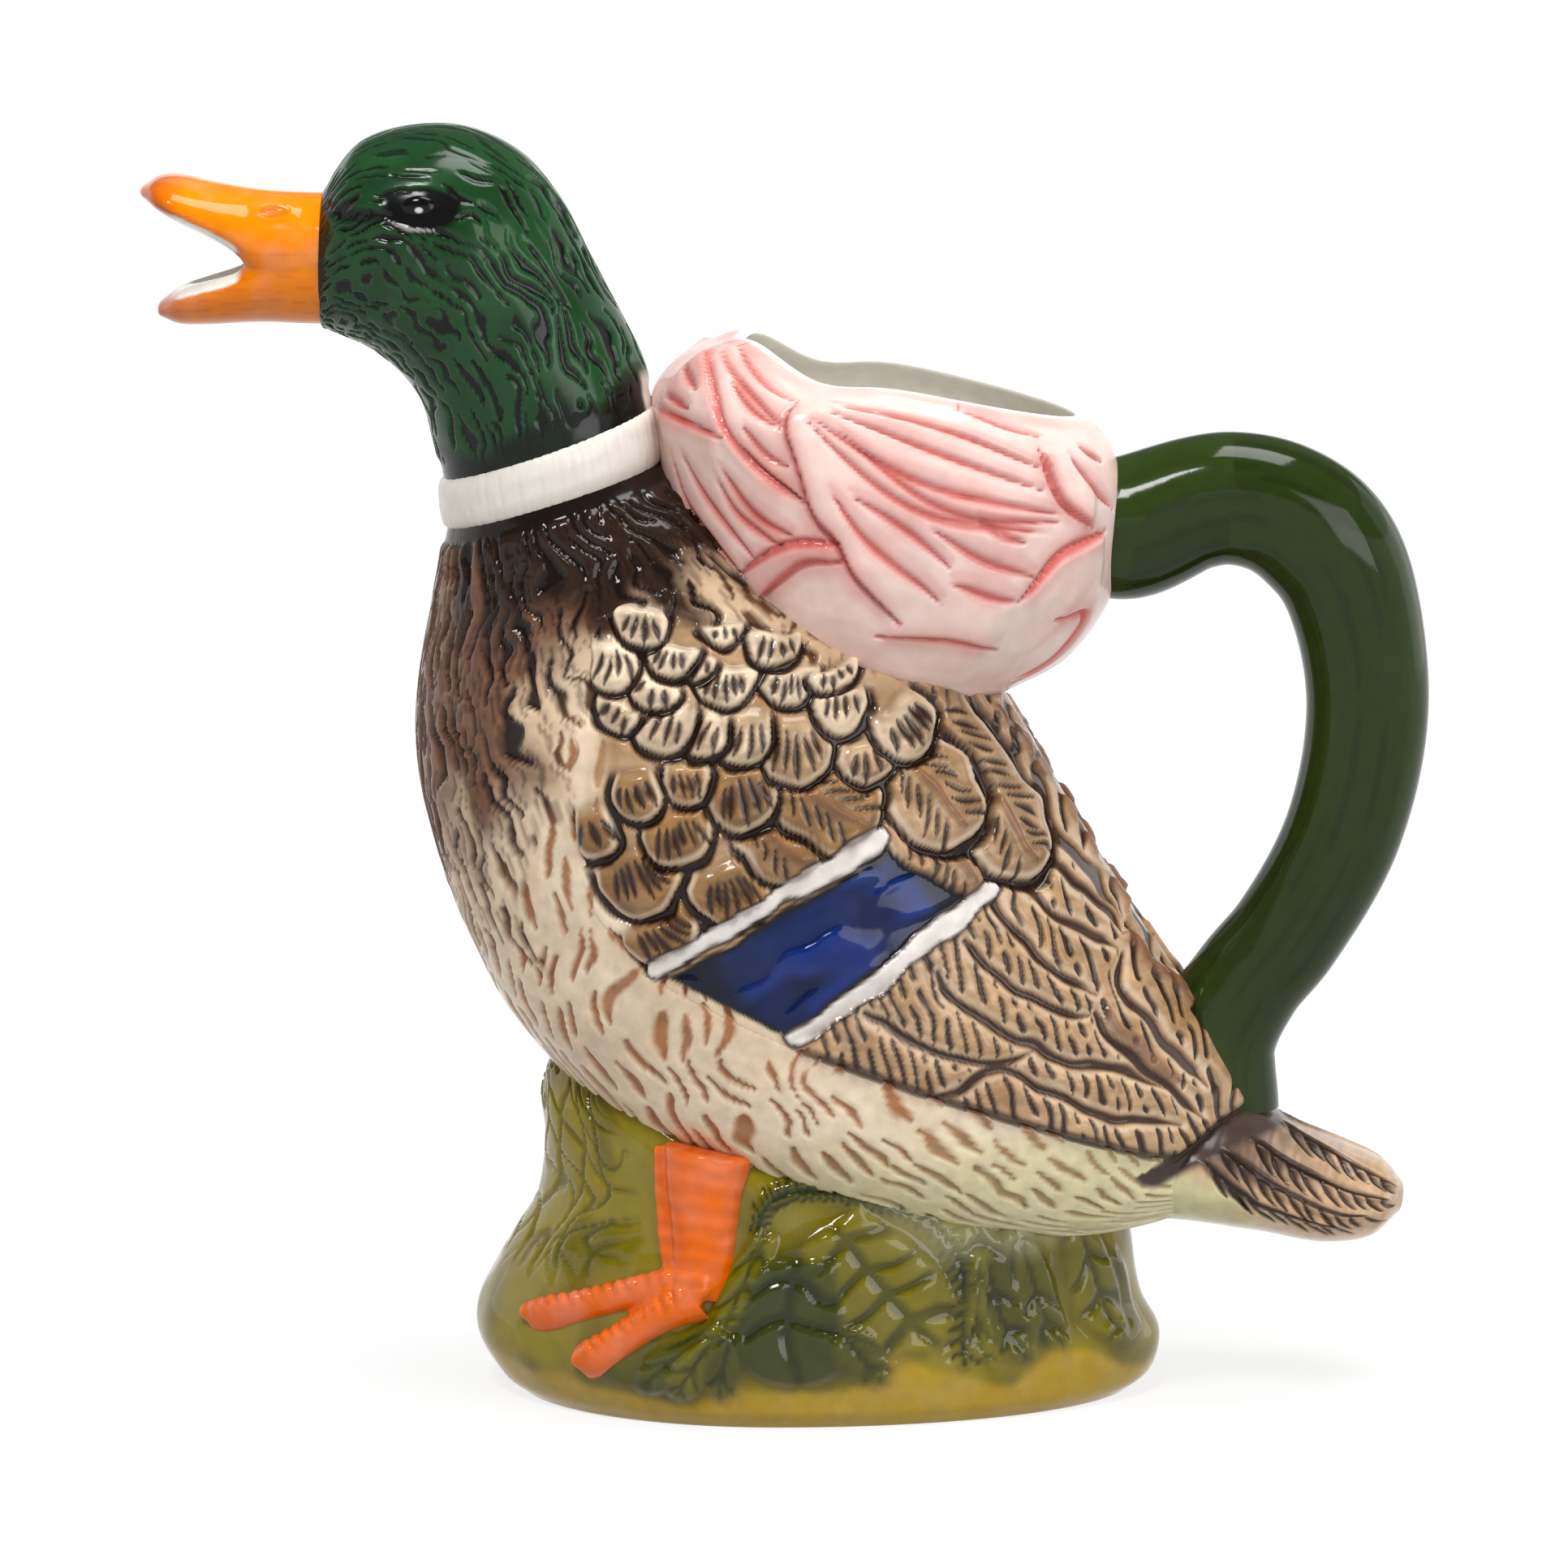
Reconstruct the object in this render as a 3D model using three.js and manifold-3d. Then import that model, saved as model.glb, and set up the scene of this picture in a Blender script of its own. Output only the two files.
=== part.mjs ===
// Duck-shaped cream jug in glazed earthenware: hollow body, neck and head that pour through the open bill,
// filled through a ruffled petal collar on the back, with a loop handle and a grassy foot.
// Millimetres, +Z up. The duck looks along -X and its left side faces -Y.
import * as THREE from "three";
import { mergeVertices } from "three/addons/utils/BufferGeometryUtils.js";
import Module from "manifold-3d";

const wasm = await Module();
wasm.setup();

// Overall size along the duck and upwards, and the size that the side outlines below are drawn at
const JUG_LENGTH = 176;
const JUG_HEIGHT = 176;
const DRAWN_LENGTH = 176;
const DRAWN_HEIGHT = 176;

// Walls, and the slip joint between one casting and the next
const BODY_WALL = 3.2;
const HEAD_WALL = 3;
const COLLAR_WALL = 2.8;
const BASE_WALL = 4.5;
const SEAM = 0.3;

// Half widths across the duck
const BODY_HALF_WIDTH = 31;
const NECK_HALF_WIDTH = 15;
const HEAD_HALF_WIDTH = 15;
const FACE_HALF_WIDTH = 9;
const BILL_HALF_WIDTH = 9.6;
const COLLAR_HALF_WIDTH = 25;
const HANDLE_HALF_WIDTH = 7.4;
const TAIL_HALF_WIDTH = 16.5;
const BASE_HALF_WIDTH = 28;

// Applied details
const BAND_PROUD = 0.5;
const WING_PROUD = 1.2;
const FEATHER_PROUD = 0.5;
const WING_PARTING = 8;
const LEAF_PROUD = 1.1;
const EYE_RADIUS = 2.4;
const EYE_SINK = 1.2;
const SHANK_RADIUS = 5.6;
const ANKLE_RADIUS = 4.2;
const TOE_RADIUS = 3;
const TOE_BOW = 1.6;
const WEB_THICKNESS = 3;

// The pouring way between the bills, and how far a bore is run past the end that it opens
const SPOUT_HALF_WIDTH = 5.4;
const SPOUT_HALF_HEIGHT = 3.6;
const BORE_RUN = 6;

// How far a flat facet may lie inside the round form, on the outside and in the hollows
const FACET_SAG = 0.24;
const HOLLOW_SAG = 0.4;
const ROUND_SIDES = 10;
const SLIVER = 0.02;

// Side outlines. Each row is a cross-section: its point on the front or lower outline (x, z), its point on
// the back or upper outline (x, z), its share of the half width, and how far along the section it is widest.
const BAND_LOW = [-46.4, 122, -17.2, 131];
const BAND_HIGH = [-47, 127.6, -17.8, 137.7];
const FACE = [-63.3, 148.9, -62.9, 167.1];
const MOUTH_LEVEL = (FACE[1] + FACE[3]) / 2;
const MOUTH_REACH = 17;

const BODY = [
  [...BAND_LOW, NECK_HALF_WIDTH / BODY_HALF_WIDTH, 0.5],
  [-48.5, 111, -6, 125, 0.6, 0.48],
  [-50.5, 99, 4, 119.5, 0.71, 0.46],
  [-50.6, 88, 15, 113.3, 0.81, 0.44],
  [-48.2, 77, 24, 106.5, 0.9, 0.43],
  [-43.6, 64.2, 31, 97, 0.96, 0.42],
  [-36.4, 51.6, 37.5, 85.7, 1, 0.4],
  [-25.6, 40.2, 43.5, 75.5, 1, 0.39],
  [-12, 31.5, 49, 66.5, 0.97, 0.38],
  [3, 25.5, 54, 58.2, 0.9, 0.38],
  [18, 22, 58.5, 50.5, 0.8, 0.4],
  [32, 21, 62, 44.5, 0.67, 0.42],
  [44, 22.5, 64.5, 39.5, 0.53, 0.45],
  [52, 25, 65.5, 36.5, 0.37, 0.5],
  [58, 28.5, 63.5, 33, 0.12, 0.5],
];

const HEAD = [
  [...BAND_HIGH, NECK_HALF_WIDTH / HEAD_HALF_WIDTH, 0.5],
  [-48, 133.2, -19.8, 144.4, 0.96, 0.5],
  [-49.6, 138.8, -23, 151, 0.95, 0.5],
  [-52.4, 142.7, -26.8, 158.4, 0.97, 0.5],
  [-55.1, 145.2, -30.8, 166.1, 1, 0.5],
  [-57.6, 146.6, -36.1, 172.3, 1, 0.5],
  [-59.6, 147.5, -43.8, 175.8, 0.97, 0.5],
  [-61.2, 148.2, -51.5, 175.8, 0.89, 0.5],
  [-62.4, 148.6, -57.8, 173.6, 0.77, 0.5],
  [...FACE, FACE_HALF_WIDTH / HEAD_HALF_WIDTH, 0.5],
];

const UPPER_BILL = [
  [-60, 150, -60, 167.1, FACE_HALF_WIDTH / BILL_HALF_WIDTH, 0.5],
  [-66, 150.5, -66, 167.1, 0.92, 0.5],
  [-71, 153, -71, 167.4, 0.91, 0.45],
  [-74.6, 158.4, -74.6, 167.9, 0.92, 0.32],
  [-78.3, 160.9, -78.3, 168.6, 0.96, 0.3],
  [-82.6, 163.1, -82.6, 169.5, 1, 0.32],
  [-85.4, 164.8, -85.4, 169.3, 0.86, 0.4],
  [-87.2, 166.3, -87.2, 168.1, 0.45, 0.5],
];

const LOWER_BILL = [
  [-60, 148.9, -60, 164, FACE_HALF_WIDTH / BILL_HALF_WIDTH, 0.5],
  [-66, 149.1, -66, 163.5, 0.9, 0.5],
  [-71, 149.3, -71, 161, 0.86, 0.55],
  [-74.6, 149.2, -74.6, 157.3, 0.85, 0.68],
  [-78.4, 149, -78.4, 155.7, 0.83, 0.72],
  [-82.8, 149.1, -82.8, 154.1, 0.72, 0.68],
  [-85.1, 150, -85.1, 152.4, 0.36, 0.5],
];

const COLLAR = [
  [-6.5, 106.5, 29.5, 98, 0.66, 0.5],
  [-9.6, 110.1, 32.4, 99.4, 0.74, 0.5],
  [-13.5, 116.3, 39.6, 103.7, 0.86, 0.5],
  [-16.1, 124.2, 45, 111.8, 0.96, 0.5],
  [-17.6, 133.2, 46.8, 120.8, 1, 0.5],
  [-18, 139.9, 46.5, 127.6, 0.97, 0.5],
  [-13.6, 144.8, 45, 132.3, 0.9, 0.5],
  [-8.6, 146.6, 42.8, 135.2, 0.8, 0.5],
];

const HANDLE = [
  [43, 110.2, 43, 130.8, 1.05, 0.5],
  [47.6, 111.4, 48, 130.8, 1, 0.5],
  [55.8, 115, 57, 133.4, 1, 0.5],
  [60.2, 115.8, 63, 134, 1, 0.5],
  [64.7, 114.7, 71, 132.4, 1, 0.5],
  [68, 111.8, 78.8, 127.8, 1, 0.5],
  [70.6, 107.4, 84.3, 119.7, 1, 0.5],
  [72.3, 94.8, 88.9, 98.2, 1, 0.5],
  [69.4, 79.6, 85.5, 77.2, 1, 0.5],
  [62.8, 67.6, 76.8, 60.4, 1, 0.5],
  [56, 60.4, 71.3, 53.3, 1.05, 0.5],
  [50, 52, 68.2, 47, 1.2, 0.5],
  [47, 42, 69, 38, 1.3, 0.5],
];

const TAIL = [
  [50, 26.5, 58, 41.5, 0.75, 0.45],
  [58, 24.4, 65, 38.8, 0.9, 0.42],
  [66, 22.8, 72, 36.4, 1, 0.4],
  [74, 21.3, 79, 33.5, 0.95, 0.4],
  [81, 21.6, 84.2, 31.2, 0.72, 0.45],
  [85.4, 24.4, 86.3, 28.6, 0.3, 0.5],
];

// Base sections lie level, from the foot upwards
const BASE = [
  [-37, 0, 48.5, 0, 0.92, 0.42],
  [-40, 2.4, 51.4, 2.4, 0.98, 0.42],
  [-43, 7.5, 52.6, 7.5, 1, 0.42],
  [-42.4, 13, 50, 13, 0.97, 0.42],
  [-38.3, 21, 48.6, 21, 0.92, 0.42],
  [-34.2, 28, 47, 27, 0.88, 0.42],
  [-33.4, 36, 40, 33, 0.82, 0.42],
  [-33.8, 42, 20, 38, 0.66, 0.42],
  [-32.4, 48, -8, 43, 0.4, 0.42],
];
const BASE_HOLLOW_ROWS = 6;

// Where the way up the neck starts inside the body, as one more cross-section
const GULLET_FOOT = [-38, 104, -8, 115, 0.8, 0.5];

// The left wing's edge (x, z), and the left eye
const WING_EDGE = [
  [-23, 104], [-27.5, 94], [-27.5, 82], [-24, 72], [-17.5, 64], [2, 53.6], [26, 44.8], [48, 38.5],
  [57, 43], [46, 62], [37, 78], [29, 90], [20, 98], [4, 102.5], [-12, 105.5],
];
const EYE_AT = [-49.2, 165.8];

// Main feathers of the left wing: root (x, z), tip (x, z) and width. Each tier stands over the one before it.
const FEATHER_TIERS = [
  [
    [10, 60, 40, 43, 5.5],
    [20, 65, 52, 45, 5.5],
    [27, 73, 51, 52, 5.5],
    [34, 82, 53, 51, 7],
    [-20, 74, -13.3, 67, 10],
    [-9, 81, -5.5, 71, 10],
    [-6, 87, 4.1, 77.7, 8],
  ],
  [
    [30, 88, 46, 60, 8],
    [13, 89, 26.5, 74.5, 9.5],
    [-23, 83, -17, 72.6, 9],
    [-14.5, 89, -12, 79.5, 9],
    [-1, 93, 12, 82.7, 10],
  ],
  [
    [20, 98, 36, 72, 8],
    [10, 97, 24, 81, 9],
    [-21, 94, -20, 84.5, 7],
    [-6, 95, -4.6, 84, 8],
    [-15, 103, -17.2, 93.9, 8],
    [0.5, 101, 2.1, 89.5, 8],
    [-24, 102, -23.5, 95, 6],
  ],
];
// The two bars beside the wing's mirror: first end (x, z), last end (x, z) and width
const MIRROR_BARS = [
  [-17.2, 64.9, 12.6, 82, 2.6],
  [0.8, 55.4, 27.3, 74.1, 2.6],
];

// Leaves and twigs on both flanks of the mound: root (x, z), tip (x, z) and width
const MOUND_LEAVES = [
  [4, 19, 21, 24, 7],
  [4, 19, 20.5, 14.5, 6],
  [4, 19, 11, 6, 6],
  [5, 20, 13, 29, 6],
  [-3, 29, 18, 31, 4],
  [28, 25, 36, 12, 8],
  [41, 22, 47, 7.5, 8],
  [-33, 45, -25, 33, 8],
  [-35, 32, -25, 24, 7],
];
const MOUND_TWIGS = [
  [20.3, 29, 25.6, 20.5, 2],
  [25.6, 20.5, 30.5, 6, 2],
  [21, 26, 23.8, 15.3, 1.8],
  [23.8, 15.3, 22.1, 8, 1.8],
];

// The left shank and toes on the mound's flank: x, share of the base's half width, z
const SHANK = [[-9.5, 0.8, 40], [-10.8, 0.86, 30], [-12, 0.89, 20.5]];
const TOE_TIPS = [[-33.4, 0.63, 13], [-26.4, 0.81, 8.4]];

// A drawn place at the jug's own size
const along = (x) => (x * JUG_LENGTH) / DRAWN_LENGTH;
const up = (z) => (z * JUG_HEIGHT) / DRAWN_HEIGHT;

function solid(geometry) {
  geometry.deleteAttribute("normal");
  geometry.deleteAttribute("uv");
  const merged = mergeVertices(geometry);
  const vertProperties = new Float32Array(merged.attributes.position.array);
  return new wasm.Manifold(new wasm.Mesh({
    numProp: 3,
    vertProperties,
    triVerts: facingOut(vertProperties, Uint32Array.from(merged.index.array)),
  }));
}

// Triangles of a closed skin, turned over when they enclose a negative volume
function facingOut(positions, triangles) {
  const [a, b, c] = [new THREE.Vector3(), new THREE.Vector3(), new THREE.Vector3()];
  let volume = 0;
  for (let i = 0; i < triangles.length; i += 3) {
    a.fromArray(positions, 3 * triangles[i]);
    b.fromArray(positions, 3 * triangles[i + 1]);
    c.fromArray(positions, 3 * triangles[i + 2]);
    volume += a.dot(b.cross(c));
  }
  return volume < 0 ? triangles.reverse() : triangles;
}

// Closed skin through cross-sections; `swell` moves it out along its normals, or in when negative
function loft(rows, halfWidth, swell = 0, sag = FACET_SAG) {
  const through = (pick) => new THREE.CatmullRomCurve3(rows.map((row) => new THREE.Vector3(...pick(row))));
  const fronts = through(([x, z]) => [along(x), 0, up(z)]);
  const backs = through(([, , x, z]) => [along(x), 0, up(z)]);
  const widths = through(([, , , , share, widest]) => [share * halfWidth, widest, 0]);
  const reach = Math.max(...rows.map(([ax, az, bx, bz]) => Math.hypot(bx - ax, bz - az))) / 2;
  const radius = (reach + halfWidth) / 2;
  const sides = 2 * Math.ceil(Math.PI / Math.acos(1 - sag / radius) / 2);
  const chord = (2 * Math.PI * radius) / sides;
  const steps = Math.max(rows.length - 1, Math.round((fronts.getLength() + backs.getLength()) / 2 / chord));

  const positions = [];
  const index = [];
  for (let step = 0; step <= steps; step++) {
    const front = fronts.getPoint(step / steps);
    const back = backs.getPoint(step / steps);
    const width = widths.getPoint(step / steps);
    const middle = front.clone().lerp(back, width.y);
    for (let side = 0; side < sides; side++) {
      const angle = (2 * Math.PI * side) / sides;
      const rise = Math.sin(angle);
      const point = middle.clone().lerp(rise < 0 ? front : back, Math.abs(rise));
      positions.push(point.x, width.x * Math.cos(angle), point.z);
      if (step < steps) {
        const here = step * sides + side;
        const next = step * sides + ((side + 1) % sides);
        index.push(here, next, next + sides, here, next + sides, here + sides);
      }
    }
  }
  for (const [first, at] of [[0, 0], [steps * sides, 1]]) {
    const centre = positions.length / 3;
    const middle = fronts.getPoint(at).lerp(backs.getPoint(at), widths.getPoint(at).y);
    positions.push(...middle);
    for (let side = 0; side < sides; side++) {
      const pair = [first + side, first + ((side + 1) % sides)];
      index.push(centre, ...(at ? pair : pair.reverse()));
    }
  }

  const geometry = new THREE.BufferGeometry();
  geometry.setAttribute("position", new THREE.Float32BufferAttribute(positions, 3));
  geometry.setIndex(Array.from(facingOut(positions, Uint32Array.from(index))));
  geometry.computeVertexNormals();
  const place = geometry.attributes.position;
  const outward = geometry.attributes.normal;
  for (let i = 0; i < place.count; i++) {
    const point = new THREE.Vector3().fromBufferAttribute(place, i);
    point.addScaledVector(new THREE.Vector3().fromBufferAttribute(outward, i), swell);
    place.setXYZ(i, point.x, point.y, point.z);
  }
  return solid(geometry);
}

// Cross-sections drawn in by a wall from both outlines and from the sides
function inset(rows, halfWidth, wall) {
  return rows.map(([ax, az, bx, bz, share, widest]) => {
    const length = Math.hypot(bx - ax, bz - az);
    const dx = ((bx - ax) / length) * wall;
    const dz = ((bz - az) / length) * wall;
    return [ax + dx, az + dz, bx - dx, bz - dz, share - wall / halfWidth, widest];
  });
}

// The same rows with the first and last repeated further down and up, so that a bore opens both ends
function runThrough(rows) {
  const lifted = ([ax, az, bx, bz, ...rest], dz) => [ax, az + dz, bx, bz + dz, ...rest];
  return [lifted(rows[0], -BORE_RUN), ...rows, lifted(rows[rows.length - 1], BORE_RUN)];
}

// A round bar along points, from one radius to another
function bar(points, firstRadius, lastRadius) {
  const steps = 2 * points.length;
  const path = new THREE.CatmullRomCurve3(points);
  const frames = path.computeFrenetFrames(steps);
  const geometry = new THREE.CylinderGeometry(lastRadius, firstRadius, 1, ROUND_SIDES, steps);
  const place = geometry.attributes.position;
  for (let i = 0; i < place.count; i++) {
    const share = THREE.MathUtils.clamp(place.getY(i) + 0.5, 0, 1);
    const step = Math.round(share * steps);
    const spot = path.getPointAt(share);
    spot.addScaledVector(frames.normals[step], place.getX(i));
    spot.addScaledVector(frames.binormals[step], place.getZ(i));
    place.setXYZ(i, spot.x, spot.y, spot.z);
  }
  return solid(geometry);
}

function ball(radius, { x, y, z }) {
  return solid(new THREE.SphereGeometry(radius, ROUND_SIDES, ROUND_SIDES / 2).translate(x, y, z));
}

const cut = (piece, ...tools) => tools.reduce((rest, tool) => rest.subtract(tool), piece);
const join = (...pieces) => pieces.reduce((whole, piece) => whole.add(piece));

// An outer form, with a second copy swollen by the joint that its neighbours are cut back by
const form = (rows, halfWidth) => ({
  skin: loft(rows, halfWidth),
  clear: loft(rows, halfWidth, SEAM),
});
const neckRow = (row, halfWidth) => [...row, NECK_HALF_WIDTH / halfWidth, 0.5];
const bandRows = [BAND_LOW, BAND_HIGH].map((row) => neckRow(row, NECK_HALF_WIDTH));
const body = form(BODY, BODY_HALF_WIDTH);
const head = form(HEAD, HEAD_HALF_WIDTH);
const band = form(inset(bandRows, NECK_HALF_WIDTH, -BAND_PROUD), NECK_HALF_WIDTH);
const collar = form(COLLAR, COLLAR_HALF_WIDTH);
const handle = form(HANDLE, HANDLE_HALF_WIDTH);
const tail = form(TAIL, TAIL_HALF_WIDTH);
const base = form(BASE, BASE_HALF_WIDTH);
const bill = join(loft(UPPER_BILL, BILL_HALF_WIDTH), loft(LOWER_BILL, BILL_HALF_WIDTH));

// Hollows: the body, the way up the neck and head and out between the bills, the collar, and the foot
const hollow = (rows, halfWidth, swell = 0) => loft(rows, halfWidth, swell, HOLLOW_SAG);
const spoutRow = (x) => [
  x,
  MOUTH_LEVEL - SPOUT_HALF_HEIGHT,
  x,
  MOUTH_LEVEL + SPOUT_HALF_HEIGHT,
  SPOUT_HALF_WIDTH / HEAD_HALF_WIDTH,
  0.5,
];
const bodyHollow = hollow(BODY, BODY_HALF_WIDTH, -BODY_WALL);
const gullet = hollow(
  [
    GULLET_FOOT,
    ...inset([neckRow(BAND_LOW, HEAD_HALF_WIDTH), ...HEAD.slice(0, -2)], HEAD_HALF_WIDTH, HEAD_WALL),
    spoutRow(FACE[0]),
    spoutRow(FACE[0] - MOUTH_REACH / 2),
    spoutRow(FACE[0] - MOUTH_REACH),
  ],
  HEAD_HALF_WIDTH,
);
const collarBore = hollow(runThrough(inset(COLLAR, COLLAR_HALF_WIDTH, COLLAR_WALL)), COLLAR_HALF_WIDTH);
const footRows = inset(BASE.slice(0, BASE_HOLLOW_ROWS), BASE_HALF_WIDTH, BASE_WALL);
const footHollow = hollow(runThrough(footRows), BASE_HALF_WIDTH);

// A block across the duck with a flat outline (x, z), from a start on Y towards its left
function block(outline, start) {
  const shape = new THREE.Shape(outline.map(([x, z]) => new THREE.Vector2(along(x), up(z))));
  const geometry = new THREE.ExtrudeGeometry(shape, { depth: 2 * BODY_HALF_WIDTH, bevelEnabled: false });
  return solid(geometry.rotateX(Math.PI / 2).translate(0, start, 0));
}

// Places on a strip from its root to its tip: shares along it, and across half its width
function strip([x, z, tipX, tipZ, width], places) {
  const axis = new THREE.Vector2(tipX - x, tipZ - z);
  const side = new THREE.Vector2(-axis.y, axis.x).setLength(width / 2);
  return places.map(([share, across]) => [
    x + share * axis.x + across * side.x,
    z + share * axis.y + across * side.y,
  ]);
}

const rod = (row) => strip(row, [[0, -1], [1, -1], [1, 1], [0, 1]]);
const tongue = (row) =>
  strip(row, [[0, -0.8], [0.6, -1], [0.88, -0.62], [1, 0], [0.88, 0.62], [0.6, 1], [0, 0.8]]);

// The left wing is a layer on the body inside the wing's edge, clear of the parting down the back, with its
// main feathers in tiers
function leftWing() {
  const tiers = [MIRROR_BARS.map(rod), ...FEATHER_TIERS.map((tier) => tier.map(tongue))].map((outlines, tier) => {
    const raised = loft(BODY, BODY_HALF_WIDTH, WING_PROUD + Math.max(tier, 1) * FEATHER_PROUD);
    return raised.intersect(join(...outlines.map((outline) => block(outline, 0))));
  });
  const layer = join(loft(BODY, BODY_HALF_WIDTH, WING_PROUD), ...tiers);
  const around = [body, collar, handle, tail, base, band];
  return cut(
    layer.intersect(block(WING_EDGE, -WING_PARTING / 2)),
    ...around.map((neighbour) => neighbour.clear),
  );
}

// The mound with its leaves and twigs raised on both flanks
function mound() {
  const outlines = [...MOUND_LEAVES.map(tongue), ...MOUND_TWIGS.map(rod)];
  const leaves = join(...outlines.map((outline) => block(outline, BODY_HALF_WIDTH)));
  return join(base.skin, loft(BASE, BASE_HALF_WIDTH, LEAF_PROUD).intersect(leaves));
}

// The left leg: a shank, two toes and the web between them, bedded in the mound
function leftLeg() {
  const onMound = ([x, share, z]) => new THREE.Vector3(along(x), -share * BASE_HALF_WIDTH, up(z));
  const shank = SHANK.map(onMound);
  const tips = TOE_TIPS.map(onMound);
  const ankle = shank[shank.length - 1];
  const toes = tips.map((tip) => {
    const knuckle = ankle.clone().lerp(tip, 0.5);
    knuckle.y -= TOE_BOW;
    return join(bar([ankle, knuckle, tip], TOE_RADIUS, TOE_RADIUS), ball(TOE_RADIUS, tip));
  });
  const limb = join(bar(shank, SHANK_RADIUS, ANKLE_RADIUS), ball(ANKLE_RADIUS, ankle));
  return cut(join(limb, ...toes, web(ankle, tips)), base.clear, body.clear);
}

function web(ankle, [first, second]) {
  const across = first.clone().sub(ankle).cross(second.clone().sub(ankle)).setLength(WEB_THICKNESS / 2);
  const rim = [ankle, first, second];
  const corners = [...rim.map((p) => p.clone().add(across)), ...rim.map((p) => p.clone().sub(across))];
  const geometry = new THREE.BufferGeometry().setFromPoints(corners);
  geometry.setIndex([0, 1, 2, 3, 5, 4, 0, 3, 1, 1, 3, 4, 1, 4, 2, 2, 4, 5, 2, 5, 0, 0, 5, 3]);
  return solid(geometry);
}

function leftEye() {
  const [x, z] = EYE_AT;
  const at = { x: along(x), y: EYE_SINK - HEAD_HALF_WIDTH, z: up(z) };
  return cut(ball(EYE_RADIUS, at), head.clear);
}

function geometryOf(piece) {
  const { vertProperties, triVerts } = piece.simplify(SLIVER).getMesh();
  const geometry = new THREE.BufferGeometry();
  geometry.setAttribute("position", new THREE.BufferAttribute(vertProperties, 3));
  geometry.setIndex(Array.from(triVerts));
  geometry.computeVertexNormals();
  return geometry;
}

// The twin of a left piece on the duck's right side
function reflected(geometry) {
  const twin = geometry.clone().scale(1, -1, 1);
  twin.setIndex(Array.from(geometry.index.array).reverse());
  twin.computeVertexNormals();
  return twin;
}

const jug = new THREE.Group();
jug.name = "creamer";

function add(name, geometry, color, roughness) {
  const part = new THREE.Mesh(geometry, new THREE.MeshStandardMaterial({ color, roughness, metalness: 0 }));
  part.name = name;
  jug.add(part);
}

function addPair(name, piece, color, roughness) {
  const geometry = geometryOf(piece);
  add(`left_${name}`, geometry, color, roughness);
  add(`right_${name}`, reflected(geometry), color, roughness);
}

add("body_shell", geometryOf(cut(body.skin, bodyHollow, gullet, band.clear, collar.clear)), 0xcdb491, 0.2);
add("neck_band", geometryOf(cut(band.skin, gullet)), 0xd8d0c6, 0.2);
add("head_shell", geometryOf(cut(head.skin, gullet, band.clear)), 0x1f5532, 0.18);
add("bill", geometryOf(cut(bill, head.clear, gullet)), 0xe0812a, 0.22);
add("petal_collar", geometryOf(cut(collar.skin, collarBore, head.clear, band.clear)), 0xe0bdb2, 0.2);
add("handle", geometryOf(cut(handle.skin, body.clear, collar.clear, tail.clear)), 0x243c16, 0.15);
add("tail", geometryOf(cut(tail.skin, body.clear)), 0xa98a66, 0.22);
add("base_mound", geometryOf(cut(mound(), footHollow, body.clear, tail.clear)), 0x5d5f24, 0.2);
addPair("wing", leftWing(), 0xb9a07a, 0.2);
addPair("leg", leftLeg(), 0xd8743a, 0.22);
addPair("eye", leftEye(), 0x141214, 0.1);

// The origin is the middle of the jug's plan, on the table
const box = new THREE.Box3().setFromObject(jug);
const middle = box.getCenter(new THREE.Vector3());
for (const part of jug.children) {
  part.geometry.translate(-middle.x, -middle.y, -box.min.z);
}

export default jug;
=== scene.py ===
import math

import bmesh
import bpy
import numpy as np
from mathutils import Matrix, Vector


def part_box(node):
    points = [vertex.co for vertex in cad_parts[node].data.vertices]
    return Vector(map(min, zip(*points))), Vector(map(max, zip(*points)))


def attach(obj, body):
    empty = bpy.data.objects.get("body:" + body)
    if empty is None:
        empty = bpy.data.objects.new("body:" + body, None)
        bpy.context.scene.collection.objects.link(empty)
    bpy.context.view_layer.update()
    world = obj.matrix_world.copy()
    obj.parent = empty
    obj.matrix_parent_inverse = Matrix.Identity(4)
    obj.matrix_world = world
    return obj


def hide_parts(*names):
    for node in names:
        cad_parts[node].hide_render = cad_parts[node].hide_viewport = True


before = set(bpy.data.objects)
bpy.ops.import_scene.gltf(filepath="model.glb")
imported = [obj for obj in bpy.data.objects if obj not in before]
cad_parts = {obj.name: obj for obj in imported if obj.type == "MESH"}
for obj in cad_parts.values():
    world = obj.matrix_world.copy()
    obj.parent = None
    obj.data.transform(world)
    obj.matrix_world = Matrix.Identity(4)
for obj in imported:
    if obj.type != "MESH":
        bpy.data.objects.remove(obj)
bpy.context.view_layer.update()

bl_info = {
    "name": "Duck cream jug",
    "version": (1, 0, 0),
    "blender": (4, 5, 0),
    "location": "View3D > Sidebar > Cream jug",
    "description": "Glazed earthenware duck jug, dressed piece by piece over its CAD frame",
    "category": "Add Mesh",
}

MM = 0.001
JUG = "root"
# Name of the point attribute that carries a piece's painted colour
GLAZE = "glaze"

# Colour of shapes that are cut away or painted later
UNPAINTED = (0.5, 0.5, 0.5)

# Half widths across the jug, in millimetres
BODY_HALF_WIDTH = 31
NECK_HALF_WIDTH = 15
HEAD_HALF_WIDTH = 15
BILL_HALF_WIDTH = 9.6
COLLAR_HALF_WIDTH = 25
TAIL_HALF_WIDTH = 16.5
BASE_HALF_WIDTH = 28
# The handle is an oval: this wide across the jug where it is this thick in the side view
HANDLE_HALF_WIDTH = 7.4
HANDLE_HALF_THICKNESS = 8.3
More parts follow.
